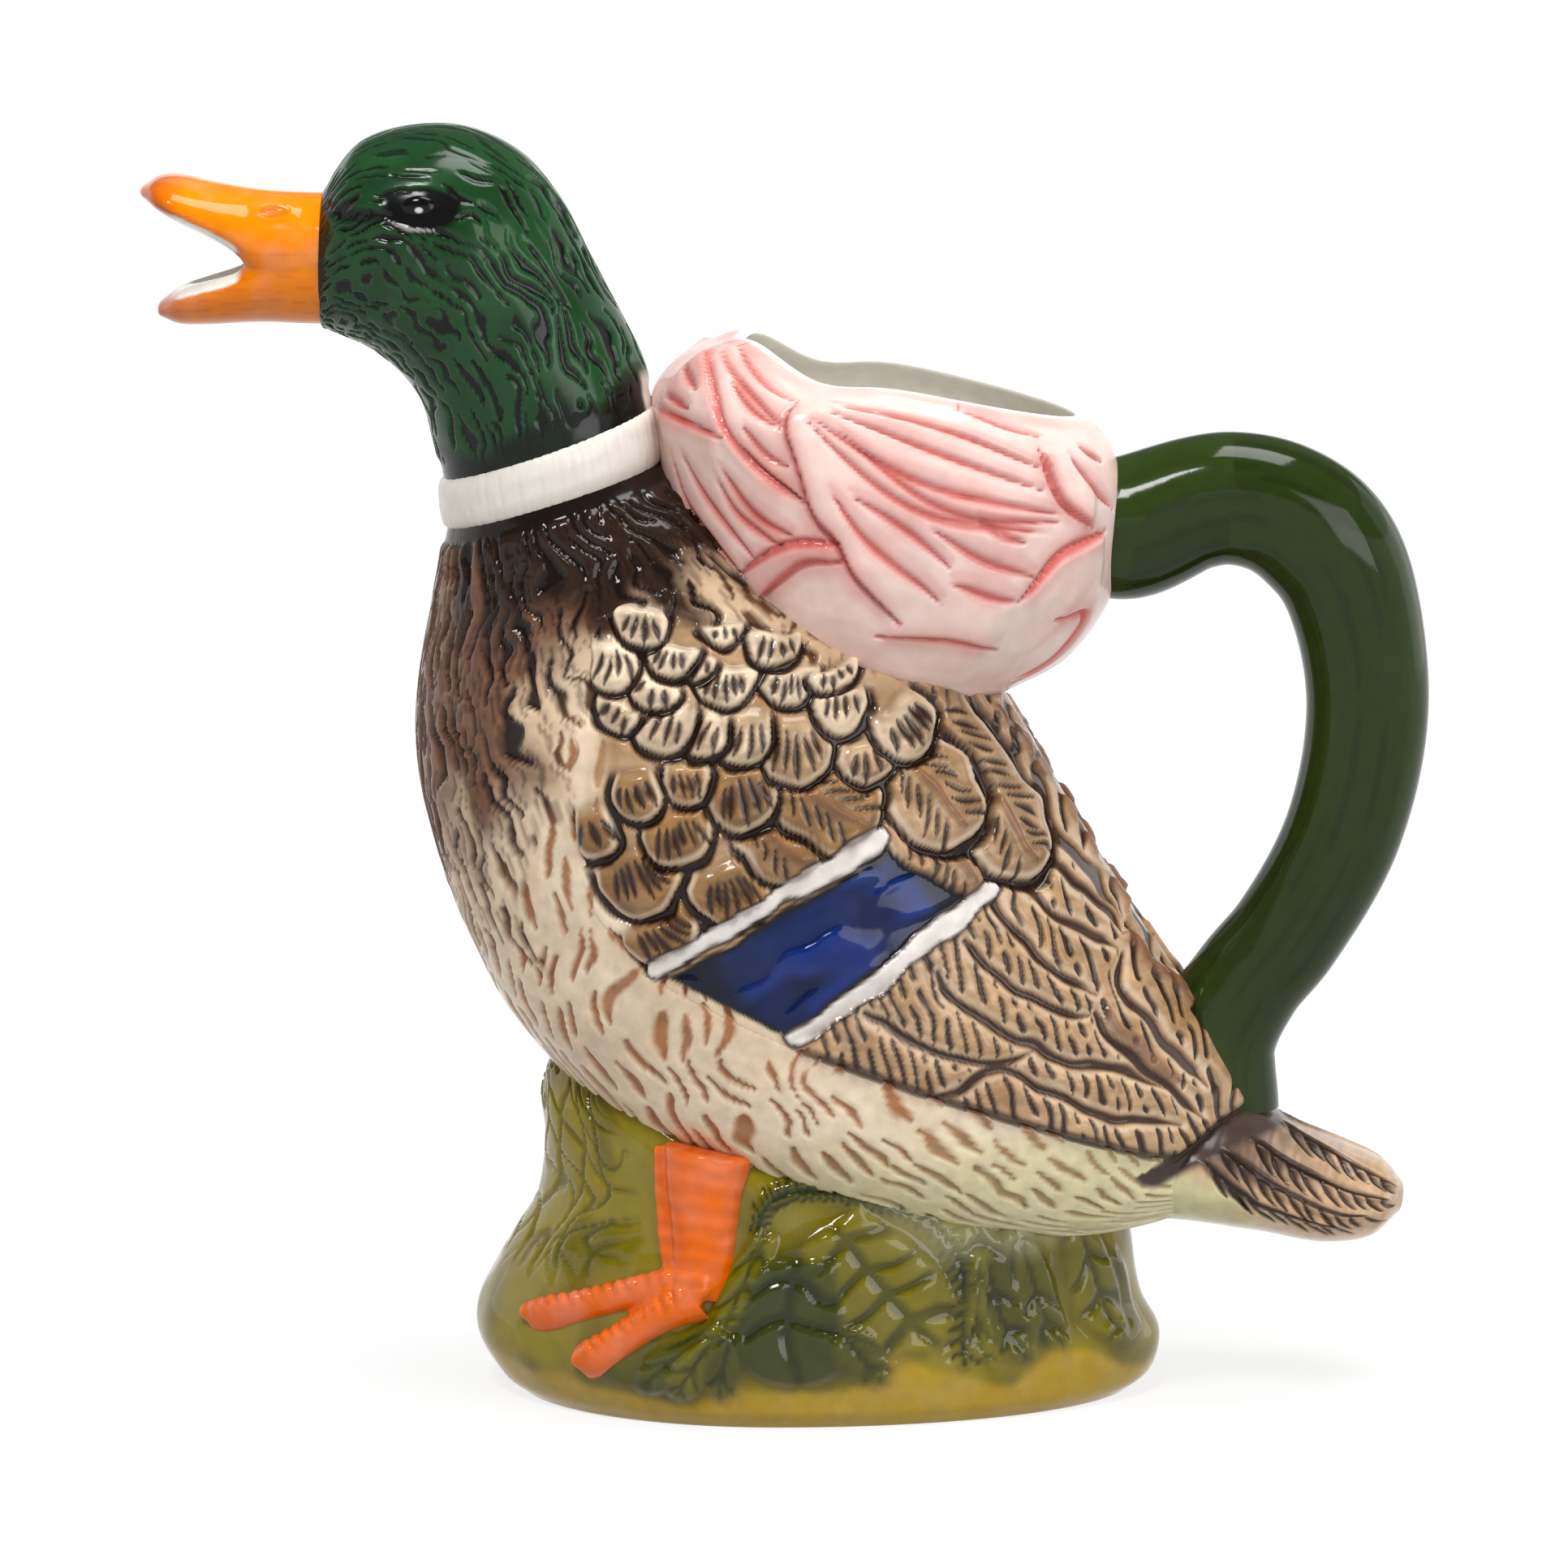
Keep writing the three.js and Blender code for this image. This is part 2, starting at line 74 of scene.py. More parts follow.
# Walls of the collar and of the hollow below it, and the room cut round that hollow
COLLAR_WALL = 2.8
POCKET_WALL = 1.2
PLUG_CLEARANCE = 0.4

# Columns of points round each piece; a wing has its own part of the turn round the body
BODY_COLUMNS = 304
WING_COLUMNS = 290
HEAD_COLUMNS = 330
BAND_COLUMNS = 320
COLLAR_COLUMNS = 460
TAIL_COLUMNS = 320
BASE_COLUMNS = 480
HANDLE_COLUMNS = 96
LEG_COLUMNS = 32

# Side outlines in drawn millimetres. Each row is a cross-section: its point on the front or lower outline
# (x, z), its point on the back or upper outline (x, z), its share of the half width, and where it is widest.
BODY_ROWS = [
    (-45.2, 125.4, -18.6, 133.6, 0.455, 0.5),
    (-46.4, 122, -17.2, 131, 0.484, 0.5),
    (-48.5, 111, -6, 125, 0.6, 0.48),
    (-50.5, 99, 4, 119.5, 0.71, 0.46),
    (-50.6, 88, 15, 113.3, 0.81, 0.44),
    (-48.2, 77, 24, 106.5, 0.9, 0.43),
    (-43.6, 64.2, 31, 97, 0.96, 0.42),
    (-36.4, 51.6, 37.5, 85.7, 1, 0.4),
    (-25.6, 40.2, 43.5, 75.5, 1, 0.39),
    (-12, 31.5, 49, 66.5, 0.97, 0.38),
    (3, 25.5, 54, 58.2, 0.9, 0.38),
    (18, 22, 58.5, 50.5, 0.8, 0.4),
    (32, 21, 62, 44.5, 0.67, 0.42),
    (44, 22.5, 64.5, 39.5, 0.55, 0.45),
    (52, 24.6, 66, 37, 0.48, 0.48),
    (58, 27.5, 64.5, 34, 0.34, 0.5),
]
BAND_ROWS = [
    (-44.6, 120.9, -19, 128.9, 0.86, 0.5),
    (-46.6, 121.4, -17, 130.4, 0.99, 0.5),
    (-47.2, 123.2, -16.7, 132.6, 1.03, 0.5),
    (-47.4, 125.2, -17, 135, 1.03, 0.5),
    (-47.2, 127.3, -17.6, 137.5, 0.99, 0.5),
    (-45.4, 128.6, -19.6, 138.2, 0.86, 0.5),
]
HEAD_ROWS = [
    (-46.6, 124.6, -17.6, 134.6, 0.94, 0.5),
    (-47, 127.6, -17.8, 137.7, 0.99, 0.5),
    (-48, 133.2, -19.8, 144.4, 0.96, 0.5),
    (-49.6, 138.8, -23, 151, 0.95, 0.5),
    (-52.4, 142.7, -26.8, 158.4, 0.97, 0.5),
    (-55.1, 145.2, -30.8, 166.1, 1, 0.5),
    (-57.6, 146.6, -36.1, 172.3, 1, 0.5),
    (-59.6, 147.5, -43.8, 175.8, 0.97, 0.5),
    (-61.2, 148.2, -51.5, 175.8, 0.89, 0.5),
    (-62.4, 148.6, -57.8, 173.6, 0.77, 0.5),
    (-63.3, 148.9, -62.9, 167.1, 0.6, 0.5),
]
UPPER_BILL_ROWS = [
    (-58, 150, -58, 167, 0.92, 0.5),
    (-66, 150.5, -66, 167.1, 0.92, 0.5),
    (-71, 153, -71, 167.4, 0.91, 0.45),
    (-74.6, 158.4, -74.6, 167.9, 0.92, 0.32),
    (-78.3, 160.9, -78.3, 168.6, 0.96, 0.3),
    (-82.6, 163.1, -82.6, 169.5, 1, 0.32),
    (-85.4, 164.8, -85.4, 169.3, 0.86, 0.4),
    (-87.2, 166.3, -87.2, 168.1, 0.45, 0.5),
]
LOWER_BILL_ROWS = [
    (-58, 148.9, -58, 164, 0.92, 0.5),
    (-66, 149.1, -66, 163.5, 0.9, 0.5),
    (-71, 149.3, -71, 161, 0.86, 0.55),
    (-74.6, 149.2, -74.6, 157.3, 0.85, 0.68),
    (-78.4, 149, -78.4, 155.7, 0.83, 0.72),
    (-82.8, 149.1, -82.8, 154.1, 0.72, 0.68),
    (-85.1, 150, -85.1, 152.4, 0.36, 0.5),
]
SPOUT_ROWS = [
    (-44, 151, -44, 164, 0.5, 0.5),
    (-63, 154.2, -63, 161.6, 0.36, 0.5),
    (-72, 154.4, -72, 161.4, 0.36, 0.5),
    (-82, 154.4, -82, 161.4, 0.36, 0.5),
]
COLLAR_ROWS = [
    (-6.5, 106.5, 29.5, 98, 0.66, 0.5),
    (-9.6, 110.1, 32.4, 99.4, 0.74, 0.5),
    (-13.5, 116.3, 39.6, 103.7, 0.86, 0.5),
    (-16.1, 124.2, 45, 111.8, 0.96, 0.5),
    (-17.6, 133.2, 46.8, 120.8, 1, 0.5),
    (-18, 139.9, 46.5, 127.6, 0.97, 0.5),
    (-13.6, 144.8, 45, 132.3, 0.9, 0.5),
    (-8.6, 146.6, 42.8, 135.2, 0.8, 0.5),
]
# The hollow of the body below the collar, from the throat down
POCKET_ROWS = [
    (-24, 92, 22, 88, 0.74, 0.5),
    (-36, 78, 27, 75, 0.88, 0.5),
    (-32, 64, 33, 62, 0.96, 0.5),
    (-18, 50, 39, 49, 0.92, 0.5),
    (2, 38, 44, 38, 0.7, 0.5),
    (18, 31, 40, 31, 0.3, 0.5),
]
# The handle's rows have the two outlines only
HANDLE_ROWS = [
    (40.6, 111.4, 43.4, 129.4),
    (47, 111, 48, 130.8),
    (55.8, 115, 57, 133.4),
    (60.2, 115.8, 63, 134),
    (64.7, 114.7, 71, 132.4),
    (68, 111.8, 78.8, 127.8),
    (70.6, 107.4, 84.3, 119.7),
    (72.3, 94.8, 88.9, 98.2),
    (69.4, 79.6, 85.5, 77.2),
    (62.8, 67.6, 76.8, 60.4),
    (57.4, 61, 71.3, 53.3),
    (51.6, 51.2, 68.4, 47),
    (50.2, 40.3, 69, 39.5),
]
TAIL_ROWS = [
    (45, 24.2, 55, 42.6, 1.02, 0.45),
    (53, 24.4, 62, 41.8, 1.12, 0.44),
    (60, 23.7, 67, 39.4, 1.12, 0.42),
    (66, 22.8, 72, 36.4, 1.04, 0.4),
    (74, 21.3, 79, 33.5, 0.96, 0.4),
    (81, 21.6, 84.2, 31.2, 0.72, 0.45),
    (85.4, 24.4, 86.3, 28.6, 0.3, 0.5),
]
# Base sections lie level: first the hollow of the foot from its roof down, then the foot and flank upwards
FOOT_HOLLOW_ROWS = [
    (-8, 24, 22, 24, 0.2, 0.42),
    (-28, 22, 42, 22, 0.72, 0.42),
    (-36, 12, 46, 12, 0.8, 0.42),
    (-33.5, 0.6, 45, 0.6, 0.79, 0.42),
]
BASE_ROWS = [
    (-37, 0, 48.5, 0, 0.92, 0.42),
    (-40, 2.4, 51.4, 2.4, 0.98, 0.42),
    (-43, 7.5, 52.6, 7.5, 1, 0.42),
    (-42.4, 13, 50, 13, 0.97, 0.42),
    (-38.3, 21, 48.6, 21, 0.92, 0.42),
    (-34.2, 28, 47, 27, 0.88, 0.42),
    (-33.4, 36, 40, 33, 0.82, 0.42),
    (-33.8, 42, 20, 38, 0.66, 0.42),
    (-32.4, 48, -8, 43, 0.4, 0.42),
]

# The drawn outlines lie this far along X from the frame
OFFSET_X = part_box("bill")[0].x / MM - UPPER_BILL_ROWS[-1][0]


def linear(red, green, blue):
    """A display colour (0 to 255) as the linear values that glazes mix in"""
    shares = np.array((red, green, blue)) / 255
    return tuple(np.where(shares <= 0.04045, shares / 12.92, ((shares + 0.055) / 1.055) ** 2.4))


def smooth(low, high, value):
    """0 before low, 1 past high and an easy slope between; low may be the larger of the two"""
    share = np.clip((value - low) / (high - low), 0, 1)
    return share * share * (3 - 2 * share)


def mix(first, second, amount):
    """The first at 0, the second at 1"""
    return first + (second - first) * amount


def blend(first, second, amount):
    """Two colours mixed, by an amount for each point"""
    return mix(first, second, np.asarray(amount)[..., None])


# Large odd numbers that scramble a row, a column and a seed, and the bits that are kept of the result
ROW_KEY = 374761393
COLUMN_KEY = 668265263
SEED_KEY = 144665
SCRAMBLE_KEY = 1274126177
LONG_BITS = 0xFFFFFFFF
SHORT_BITS = 0xFFFF


def lattice(i, j, seed):
    """Repeatable scatter from 0 to 1 at whole-number places"""
    row, column = np.asarray(i).astype(np.int64), np.asarray(j).astype(np.int64)
    mixed = (row * ROW_KEY + column * COLUMN_KEY + seed * SEED_KEY) & LONG_BITS
    mixed = ((mixed ^ (mixed >> 13)) * SCRAMBLE_KEY) & LONG_BITS
    return ((mixed ^ (mixed >> 16)) & SHORT_BITS) / SHORT_BITS


def noise(u, v, seed, wrap=None):
    """Soft random field from 0 to 1, one knot per unit; v closes on itself after wrap knots"""
    row, column = np.floor(u), np.floor(v)
    du, dv = smooth(0, 1, u - row), smooth(0, 1, v - column)

    def knot(i, j):
        return lattice(i, j % wrap if wrap else j, seed)

    near = mix(knot(row, column), knot(row, column + 1), dv)
    far = mix(knot(row + 1, column), knot(row + 1, column + 1), dv)
    return mix(near, far, du)


def strokes(u, v, seed, wrap=None, fill=0.32, slant=0.0):
    """Depth from 0 to 1 of tapering strokes along u, one in each unit cell; v closes after wrap cells"""
    deepest = 0.0
    for step in (-1, 0, 1):
        column = np.floor(v) + step
        key = column % wrap if wrap else column
        start = u + lattice(key, 0, seed)
        for back in (-1, 0, 1):
            row = np.floor(start) + back
            size = 0.6 + 0.4 * lattice(key, row, seed + 1)
            du = start - row - 0.5 - 0.35 * (lattice(key, row, seed + 2) - 0.5)
            dv = v - column - 0.5 - 0.5 * (lattice(key, row, seed + 3) - 0.5) - slant * du
            taper = np.sqrt(np.clip(1 - (du / (0.52 * size)) ** 2, 0, 1))
            deepest = np.maximum(deepest, smooth(1.1, 0.5, np.abs(dv) / (fill * size * taper + 1e-6)))
    return deepest


def spline(points, at):
    """Smooth curve through points, read at shares of the way along it"""
    points = np.asarray(points, float)
    padded = np.vstack([2 * points[0] - points[1], points, 2 * points[-1] - points[-2]])
    place = np.clip(at, 0, 1) * (len(points) - 1)
    first = np.minimum(place.astype(int), len(points) - 2)
    w = (place - first)[:, None]
    p0, p1, p2, p3 = (padded[first + k] for k in range(4))

    def knot(a, b):
        return np.maximum(((a - b) ** 2).sum(1) ** 0.25, 1e-4)[:, None]

    k0, k1, k2 = knot(p0, p1), knot(p1, p2), knot(p2, p3)
    leave = ((p1 - p0) / k0 - (p2 - p0) / (k0 + k1) + (p2 - p1) / k1) * k1
    arrive = ((p2 - p1) / k1 - (p3 - p1) / (k1 + k2) + (p3 - p2) / k2) * k1
    square = 3 * (p2 - p1) - 2 * leave - arrive
    cube = 2 * (p1 - p2) + leave + arrive
    return p1 + leave * w + square * w**2 + cube * w**3


def travelled(points):
    """Distance along a path at each of its points"""
    return np.concatenate([[0], np.cumsum(np.linalg.norm(np.diff(points, axis=0), axis=1))])


def heading(start, end):
    """Distance from one flat point to another, the unit step towards it, and the unit step to the left"""
    way = np.subtract(end, start)
    span = np.linalg.norm(way)
    ahead = way / span
    return span, ahead, np.array((-ahead[1], ahead[0]))


class Skin:
    """Points of a glazed skin, with the relief in mm and the glaze colour laid on each"""

    def __init__(self, points, normals, colour):
        self.points = points
        self.normals = normals
        self.relief = np.zeros(points.shape[:-1])
        self.colour = np.broadcast_to(colour, points.shape).copy()

    @property
    def x(self):
        return self.points[..., 0]

    @property
    def y(self):
        return self.points[..., 1]

    @property
    def z(self):
        return self.points[..., 2]

    def tint(self, colour, amount, where=...):
        """Mixes a colour in"""
        self.colour[where] = blend(self.colour[where], np.asarray(colour), amount)

    def lift(self, amount, where=...):
        """Raises the relief, or lowers it"""
        self.relief[where] += amount

    def settle(self, level, amount, where=...):
        """Draws the relief to a level"""
        self.relief[where] += (level - self.relief[where]) * amount

    def from_oval(self, centre, half_sizes):
        """How far each point lies from the centre of an oval in the side view, where 1 is its edge"""
        return np.hypot((self.x - centre[0]) / half_sizes[0], (self.z - centre[1]) / half_sizes[1])

    def spread(self, value):
        """A value of the rows or of the columns given to every point"""
        return np.broadcast_to(value, self.relief.shape)

    def surface(self):
        """The points with their relief"""
        return self.points + self.normals * self.relief[..., None]


class Loft(Skin):
    """A skin through cross-sections: rows along the piece, columns around it"""

    def __init__(self, rows, half_width, spacing, around, colour, angles=None, shares=(0, 1)):
        rows = np.array(rows, float)
        fine = np.linspace(0, 1, 40 * len(rows))
        reach = sum(travelled(spline(rows[:, k:k + 2], fine)) for k in (0, 2)) / 2
        start, end = np.interp(shares, fine, reach)
        self.along = np.linspace(start, end, max(len(rows), round((end - start) / spacing) + 1))[:, None]
        self.share = np.interp(self.along, reach, fine)
        at = self.share[:, 0]
        fronts, backs = (spline(rows[:, k:k + 2], at)[:, None] for k in (0, 2))
        widths = spline(rows[:, 4:6] * (half_width, 1), at)
        if angles is None:
            angles = np.arange(around) * 2 * math.pi / around
        self.angle = angles[None, :]
        rise = np.sin(self.angle)[..., None]
        middle = mix(fronts, backs, widths[:, 1][:, None, None])
        outline = mix(middle, np.where(rise < 0, fronts, backs), np.abs(rise))
        points = np.empty(outline.shape[:2] + (3,))
        points[..., 0] = outline[..., 0]
        points[..., 1] = widths[:, :1] * np.cos(self.angle)
        points[..., 2] = outline[..., 1]
        super().__init__(points, normals_of(points, angles_close=len(angles) == around), colour)
        outward = points[..., (0, 2)] - middle
        facing = (self.normals[..., (0, 2)] * outward).sum() + (self.normals[..., 1] * points[..., 1]).sum()
        if facing < 0:
            self.normals *= -1

    @property
    def turn(self):
        """Degrees round the piece from its front, the same on both sides"""
        degrees = np.degrees(self.angle)
        return np.abs((270 - degrees + 180) % 360 - 180)

    def round_the_piece(self, knots):
        """How far each column lies round the piece, where a full turn is this many knots"""
        return self.angle / (2 * math.pi) * knots


def normals_of(points, angles_close):
    """Unit normals of a grid of points, which closes on itself along its rows or doesn't"""
    down = np.gradient(points, axis=0)
    if angles_close:
        across = np.roll(points, -1, 1) - np.roll(points, 1, 1)
    else:
        across = np.gradient(points, axis=1)
    normals = np.cross(across, down)
    return normals / np.maximum(np.linalg.norm(normals, axis=-1, keepdims=True), 1e-9)


def domed(grid, colours, depth, steps=6):
    """The grid with its last ring drawn in to a rounded end"""
    ring, before = grid[-1], grid[-2]
    centre = ring.mean(0)
    ahead = centre - before.mean(0)
    ahead = ahead / np.linalg.norm(ahead)
    quarter = np.linspace(0, math.pi / 2, steps + 1)[1:-1]
    caps = [centre + (ring - centre) * math.cos(q) + ahead * depth * math.sin(q) for q in quarter]
    tones = [colours[-1]] * len(caps)
    tip = centre + ahead * depth
    return np.concatenate([grid, caps]), np.concatenate([colours, tones]), None, tip


def inset(rows, half_width, wall):
    """Cross-sections drawn in by a wall from both outlines and from the sides"""
    drawn = []
    for ax, az, bx, bz, share, widest in rows:
        dx, dz = np.array((bx - ax, bz - az)) / math.hypot(bx - ax, bz - az) * wall
        drawn.append((ax + dx, az + dz, bx - dx, bz - dz, share - wall / half_width, widest))
    return drawn


def in_frame(points):
    """Drawn millimetres as metres in the frame"""
    return (np.asarray(points) + (OFFSET_X, 0, 0)) * MM


def put_in_scene(name, data):
    """An object in the scene for a mesh, a lamp or a camera"""
    item = bpy.data.objects.new(name, data)
    bpy.context.scene.collection.objects.link(item)
    return item


def piece_from(name, vertices, faces, colours):
    """A mesh object from drawn millimetres, faces (rows of corner numbers) and a glaze colour per point"""
    mesh = bpy.data.meshes.new(name)
    placed = in_frame(vertices)
    corners = np.concatenate([block.ravel() for block in faces])
    counts = np.concatenate([np.full(len(block), block.shape[1]) for block in faces])
    mesh.vertices.add(len(placed))
    mesh.vertices.foreach_set("co", placed.astype(np.float32).ravel())
    mesh.loops.add(len(corners))
    mesh.loops.foreach_set("vertex_index", corners.astype(np.int32))
    mesh.polygons.add(len(counts))
    mesh.polygons.foreach_set("loop_start", np.concatenate([[0], np.cumsum(counts)[:-1]]).astype(np.int32))
    mesh.update(calc_edges=True)
    mesh.validate()
    lay_glaze(mesh, colours)
    mesh.shade_smooth()
    return put_in_scene(name, mesh)


def lay_glaze(mesh, colours):
    """Stores a glaze colour on each point of a mesh"""
    layer = mesh.color_attributes.get(GLAZE) or mesh.color_attributes.new(GLAZE, "FLOAT_COLOR", "POINT")
    rgba = np.ones((len(mesh.vertices), 4), np.float32)
    rgba[:, :3] = np.clip(colours, 0, 1).reshape(-1, 3)
    layer.data.foreach_set("color", rgba.ravel())


def tube_piece(name, grid, colours, first=None, last=None):
    """A closed piece from rings of points; each end closes on a point, the ring's centre unless given"""
    rings, around = grid.shape[:2]
    ends = [grid[0].mean(0) if first is None else first, grid[-1].mean(0) if last is None else last]
    vertices = np.concatenate([grid.reshape(-1, 3), ends])
    tones = np.concatenate([colours.reshape(-1, 3), colours[[0, -1]].mean(1)])
    here = np.arange(rings * around).reshape(rings, around)
    side = np.roll(here, -1, 1)
    quads = np.stack([here[:-1], side[:-1], side[1:], here[1:]], -1).reshape(-1, 4)
    start = np.stack([side[0], here[0], np.full(around, rings * around)], -1)
    close = np.stack([here[-1], side[-1], np.full(around, rings * around + 1)], -1)
    corners = vertices[quads[:, :3]]
    spans = np.cross(corners[:, 1] - corners[:, 0], corners[:, 2] - corners[:, 0])
    if (spans * (corners[:, 0] - vertices.mean(0))).sum() < 0:
        quads, start, close = quads[:, ::-1], start[:, ::-1], close[:, ::-1]
    return piece_from(name, vertices, [quads, start, close], tones)


def mirrored(name, piece):
    """The twin of a left piece on the duck's right side"""
    mesh = piece.data.copy()
    mesh.name = name
    places = np.empty(len(mesh.vertices) * 3, np.float32)
    mesh.vertices.foreach_get("co", places)
    places = places.reshape(-1, 3) * (1, -1, 1)
    mesh.vertices.foreach_set("co", places.astype(np.float32).ravel())
    mesh.flip_normals()
    return put_in_scene(name, mesh)


def bake_modifier(piece):
    """Turns a piece's modifiers into plain mesh"""
    evaluated = piece.evaluated_get(bpy.context.evaluated_depsgraph_get())
    mesh = bpy.data.meshes.new_from_object(evaluated)
    piece.modifiers.clear()
    old = piece.data
    piece.data = mesh
    bpy.data.meshes.remove(old)


def combine(piece, other, operation):
    """Cuts a closed shape out of a closed piece or joins it on, and drops the shape"""
    modifier = piece.modifiers.new("combine", "BOOLEAN")
    modifier.operation = operation
    modifier.solver = "MANIFOLD"
    modifier.object = other
    bake_modifier(piece)
    bpy.data.objects.remove(other)
    if not len(piece.data.polygons):
        raise RuntimeError(f"nothing is left of {piece.name}")
    piece.data.shade_smooth()


def carve(piece, tool):
    """Cuts a closed tool out of a closed piece"""
    combine(piece, tool, "DIFFERENCE")


def weld(piece, other):
    """Joins a closed piece with another into one skin"""
    combine(piece, other, "UNION")


def plain_loft(name, rows, half_width, sink=0, spacing=1.5, around=64):
    """A closed loft with no relief, for cutting; its first end closes on a point this much lower"""
    skin = Loft(rows, half_width, spacing, around, UNPAINTED)
    return tube_piece(name, skin.points, skin.colour, first=skin.points[0].mean(0) - (0, 0, sink))


def domed_loft(name, rows, half_width, depth, spacing=0.6, around=96):
    """A closed loft with no relief and a rounded end"""
    skin = Loft(rows, half_width, spacing, around, UNPAINTED)
    return tube_piece(name, *domed(skin.points, skin.colour, depth))


def collar_plug():
    """The collar and the hollow below it as one closed shape, cut out of what they pass through"""
    room = POCKET_WALL + PLUG_CLEARANCE
    hollow = inset(POCKET_ROWS, COLLAR_HALF_WIDTH, -room)
    collar = inset(COLLAR_ROWS, COLLAR_HALF_WIDTH, COLLAR_WALL / 2)
    return plain_loft("collar_plug", [*hollow[::-1], *collar], COLLAR_HALF_WIDTH, sink=room)


# Patterns are laid in a flat plane of millimetres: (u, v) for every point of a skin


def leaf_frame(u, v, base, tip, width, blunt):
    """Points near a leaf shape: which they are, shares along and across it, and mm inside its edge"""
    span, ahead, side = heading(base, tip)
    reach = span / 2 + width
    middle = np.add(base, tip) / 2
    where = np.nonzero((np.abs(u - middle[0]) < reach) & (np.abs(v - middle[1]) < reach))
    du, dv = u[where] - tip[0], v[where] - tip[1]
    along = du * ahead[0] + dv * ahead[1]
    across = du * side[0] + dv * side[1]
    half = width / 2
    nose = min(blunt * half, 0.9 * span)
    past = np.clip((along + nose) / nose, 0, None)
    slim = 1 - 0.3 * np.clip(-(along + nose) / max(span - nose, 0.1), 0, 1)
    rounded = (1 - np.sqrt(past**2 + (across / half) ** 2)) * min(half, nose)
    edge = np.where(along > -nose, rounded, half * slim - np.abs(across))
    edge = np.minimum(edge, along + span)
    return where, 1 + along / span, across / half, edge


def line_distance(u, v, points):
    """Distance from a polyline, the share of its length at the nearest place, and the side (1 is left)"""
    points = np.asarray(points, float)
    starts = travelled(points)
    nearest = np.full(np.broadcast(u, v).shape, np.inf)
    share = np.zeros_like(nearest)
    side = np.zeros_like(nearest)
    for first, last, start in zip(points[:-1], points[1:], starts):
        reach, ahead, left = heading(first, last)
        du, dv = u - first[0], v - first[1]
        along = np.clip(du * ahead[0] + dv * ahead[1], 0, reach)
        gap = np.hypot(du - along * ahead[0], dv - along * ahead[1])
        closer = gap < nearest
        nearest = np.where(closer, gap, nearest)
        share = np.where(closer, (start + along) / starts[-1], share)
        side = np.where(closer, np.sign(left[0] * du + left[1] * dv), side)
    return nearest, share, side


def curved(points, steps=8):
    """More points along the smooth curve through a few"""
    return spline(points, np.linspace(0, 1, steps * (len(points) - 1) + 1))


def groove(skin, u, v, points, width, depth, colour, tone=1.0, taper=0.5):
    """A tapering line sunk into a skin (or raised, for a negative depth) and filled with colour"""
    points = np.asarray(points, float)
    low, high = points.min(0) - 2 * width, points.max(0) + 2 * width
    where = np.nonzero((u > low[0]) & (u < high[0]) & (v > low[1]) & (v < high[1]))
    if not len(where[0]):
        return
    gap, share, _ = line_distance(u[where], v[where], points)
    thin = 1 - taper * np.abs(2 * share - 1) ** 2
    deep = smooth(1, 0.25, gap / (0.5 * width * thin + 1e-6))
    skin.lift(-depth * deep, where)
    skin.tint(colour, tone * deep, where)


def blurred(field, cells):
    """A field averaged over a square of points, this many cells to each side"""
    for axis in (0, 1):
        count = field.shape[axis]
        margins = [(cells + 1, cells) if k == axis else (0, 0) for k in (0, 1)]
        total = np.cumsum(np.pad(field, margins, "edge"), axis)
        ahead = np.take(total, np.arange(count) + 2 * cells + 1, axis)
        field = (ahead - np.take(total, np.arange(count), axis)) / (2 * cells + 1)
    return field


def stain(skin, shade, cells):
    """Lets glaze pool in a skin's hollows, where it passes this share of light, and thin on its ridges"""
    hollow = blurred(skin.relief, cells) - skin.relief
    skin.colour *= blend(1, np.array(shade), smooth(0, 0.5, hollow))
    skin.colour *= (1 + 0.2 * smooth(0, 0.5, -hollow))[..., None]


def inside_polygon(u, v, corners):
    """Which points lie inside a closed outline"""
    corners = np.asarray(corners, float)
    inside = np.zeros(np.broadcast(u, v).shape, bool)
    for (ax, ay), (bx, by) in zip(corners, np.roll(corners, -1, 0)):
        crosses = ((ay > v) != (by > v)) & (u < (bx - ax) * (v - ay) / (by - ay + 1e-12) + ax)
        inside ^= crosses
    return inside


def polygon_depth(u, v, corners):
    """Millimetres inside a closed outline, negative outside"""
    gap, _, _ = line_distance(u, v, np.vstack([corners, corners[:1]]))
    return np.where(inside_polygon(u, v, corners), gap, -gap)


def feed(tree, node, inputs):
    """Gives a node's inputs other nodes' outputs or plain values"""
    for label, value in inputs.items():
        if isinstance(value, bpy.types.NodeSocket):
            tree.links.new(value, node.inputs[label])
        else:
            node.inputs[label].default_value = value


def add_node(tree, kind, inputs=None, **settings):
    """Adds a node to a tree, and returns its outputs"""
    node = tree.nodes.new(kind)
    for key, value in settings.items():
        setattr(node, key, value)
    feed(tree, node, inputs or {})
    return node.outputs


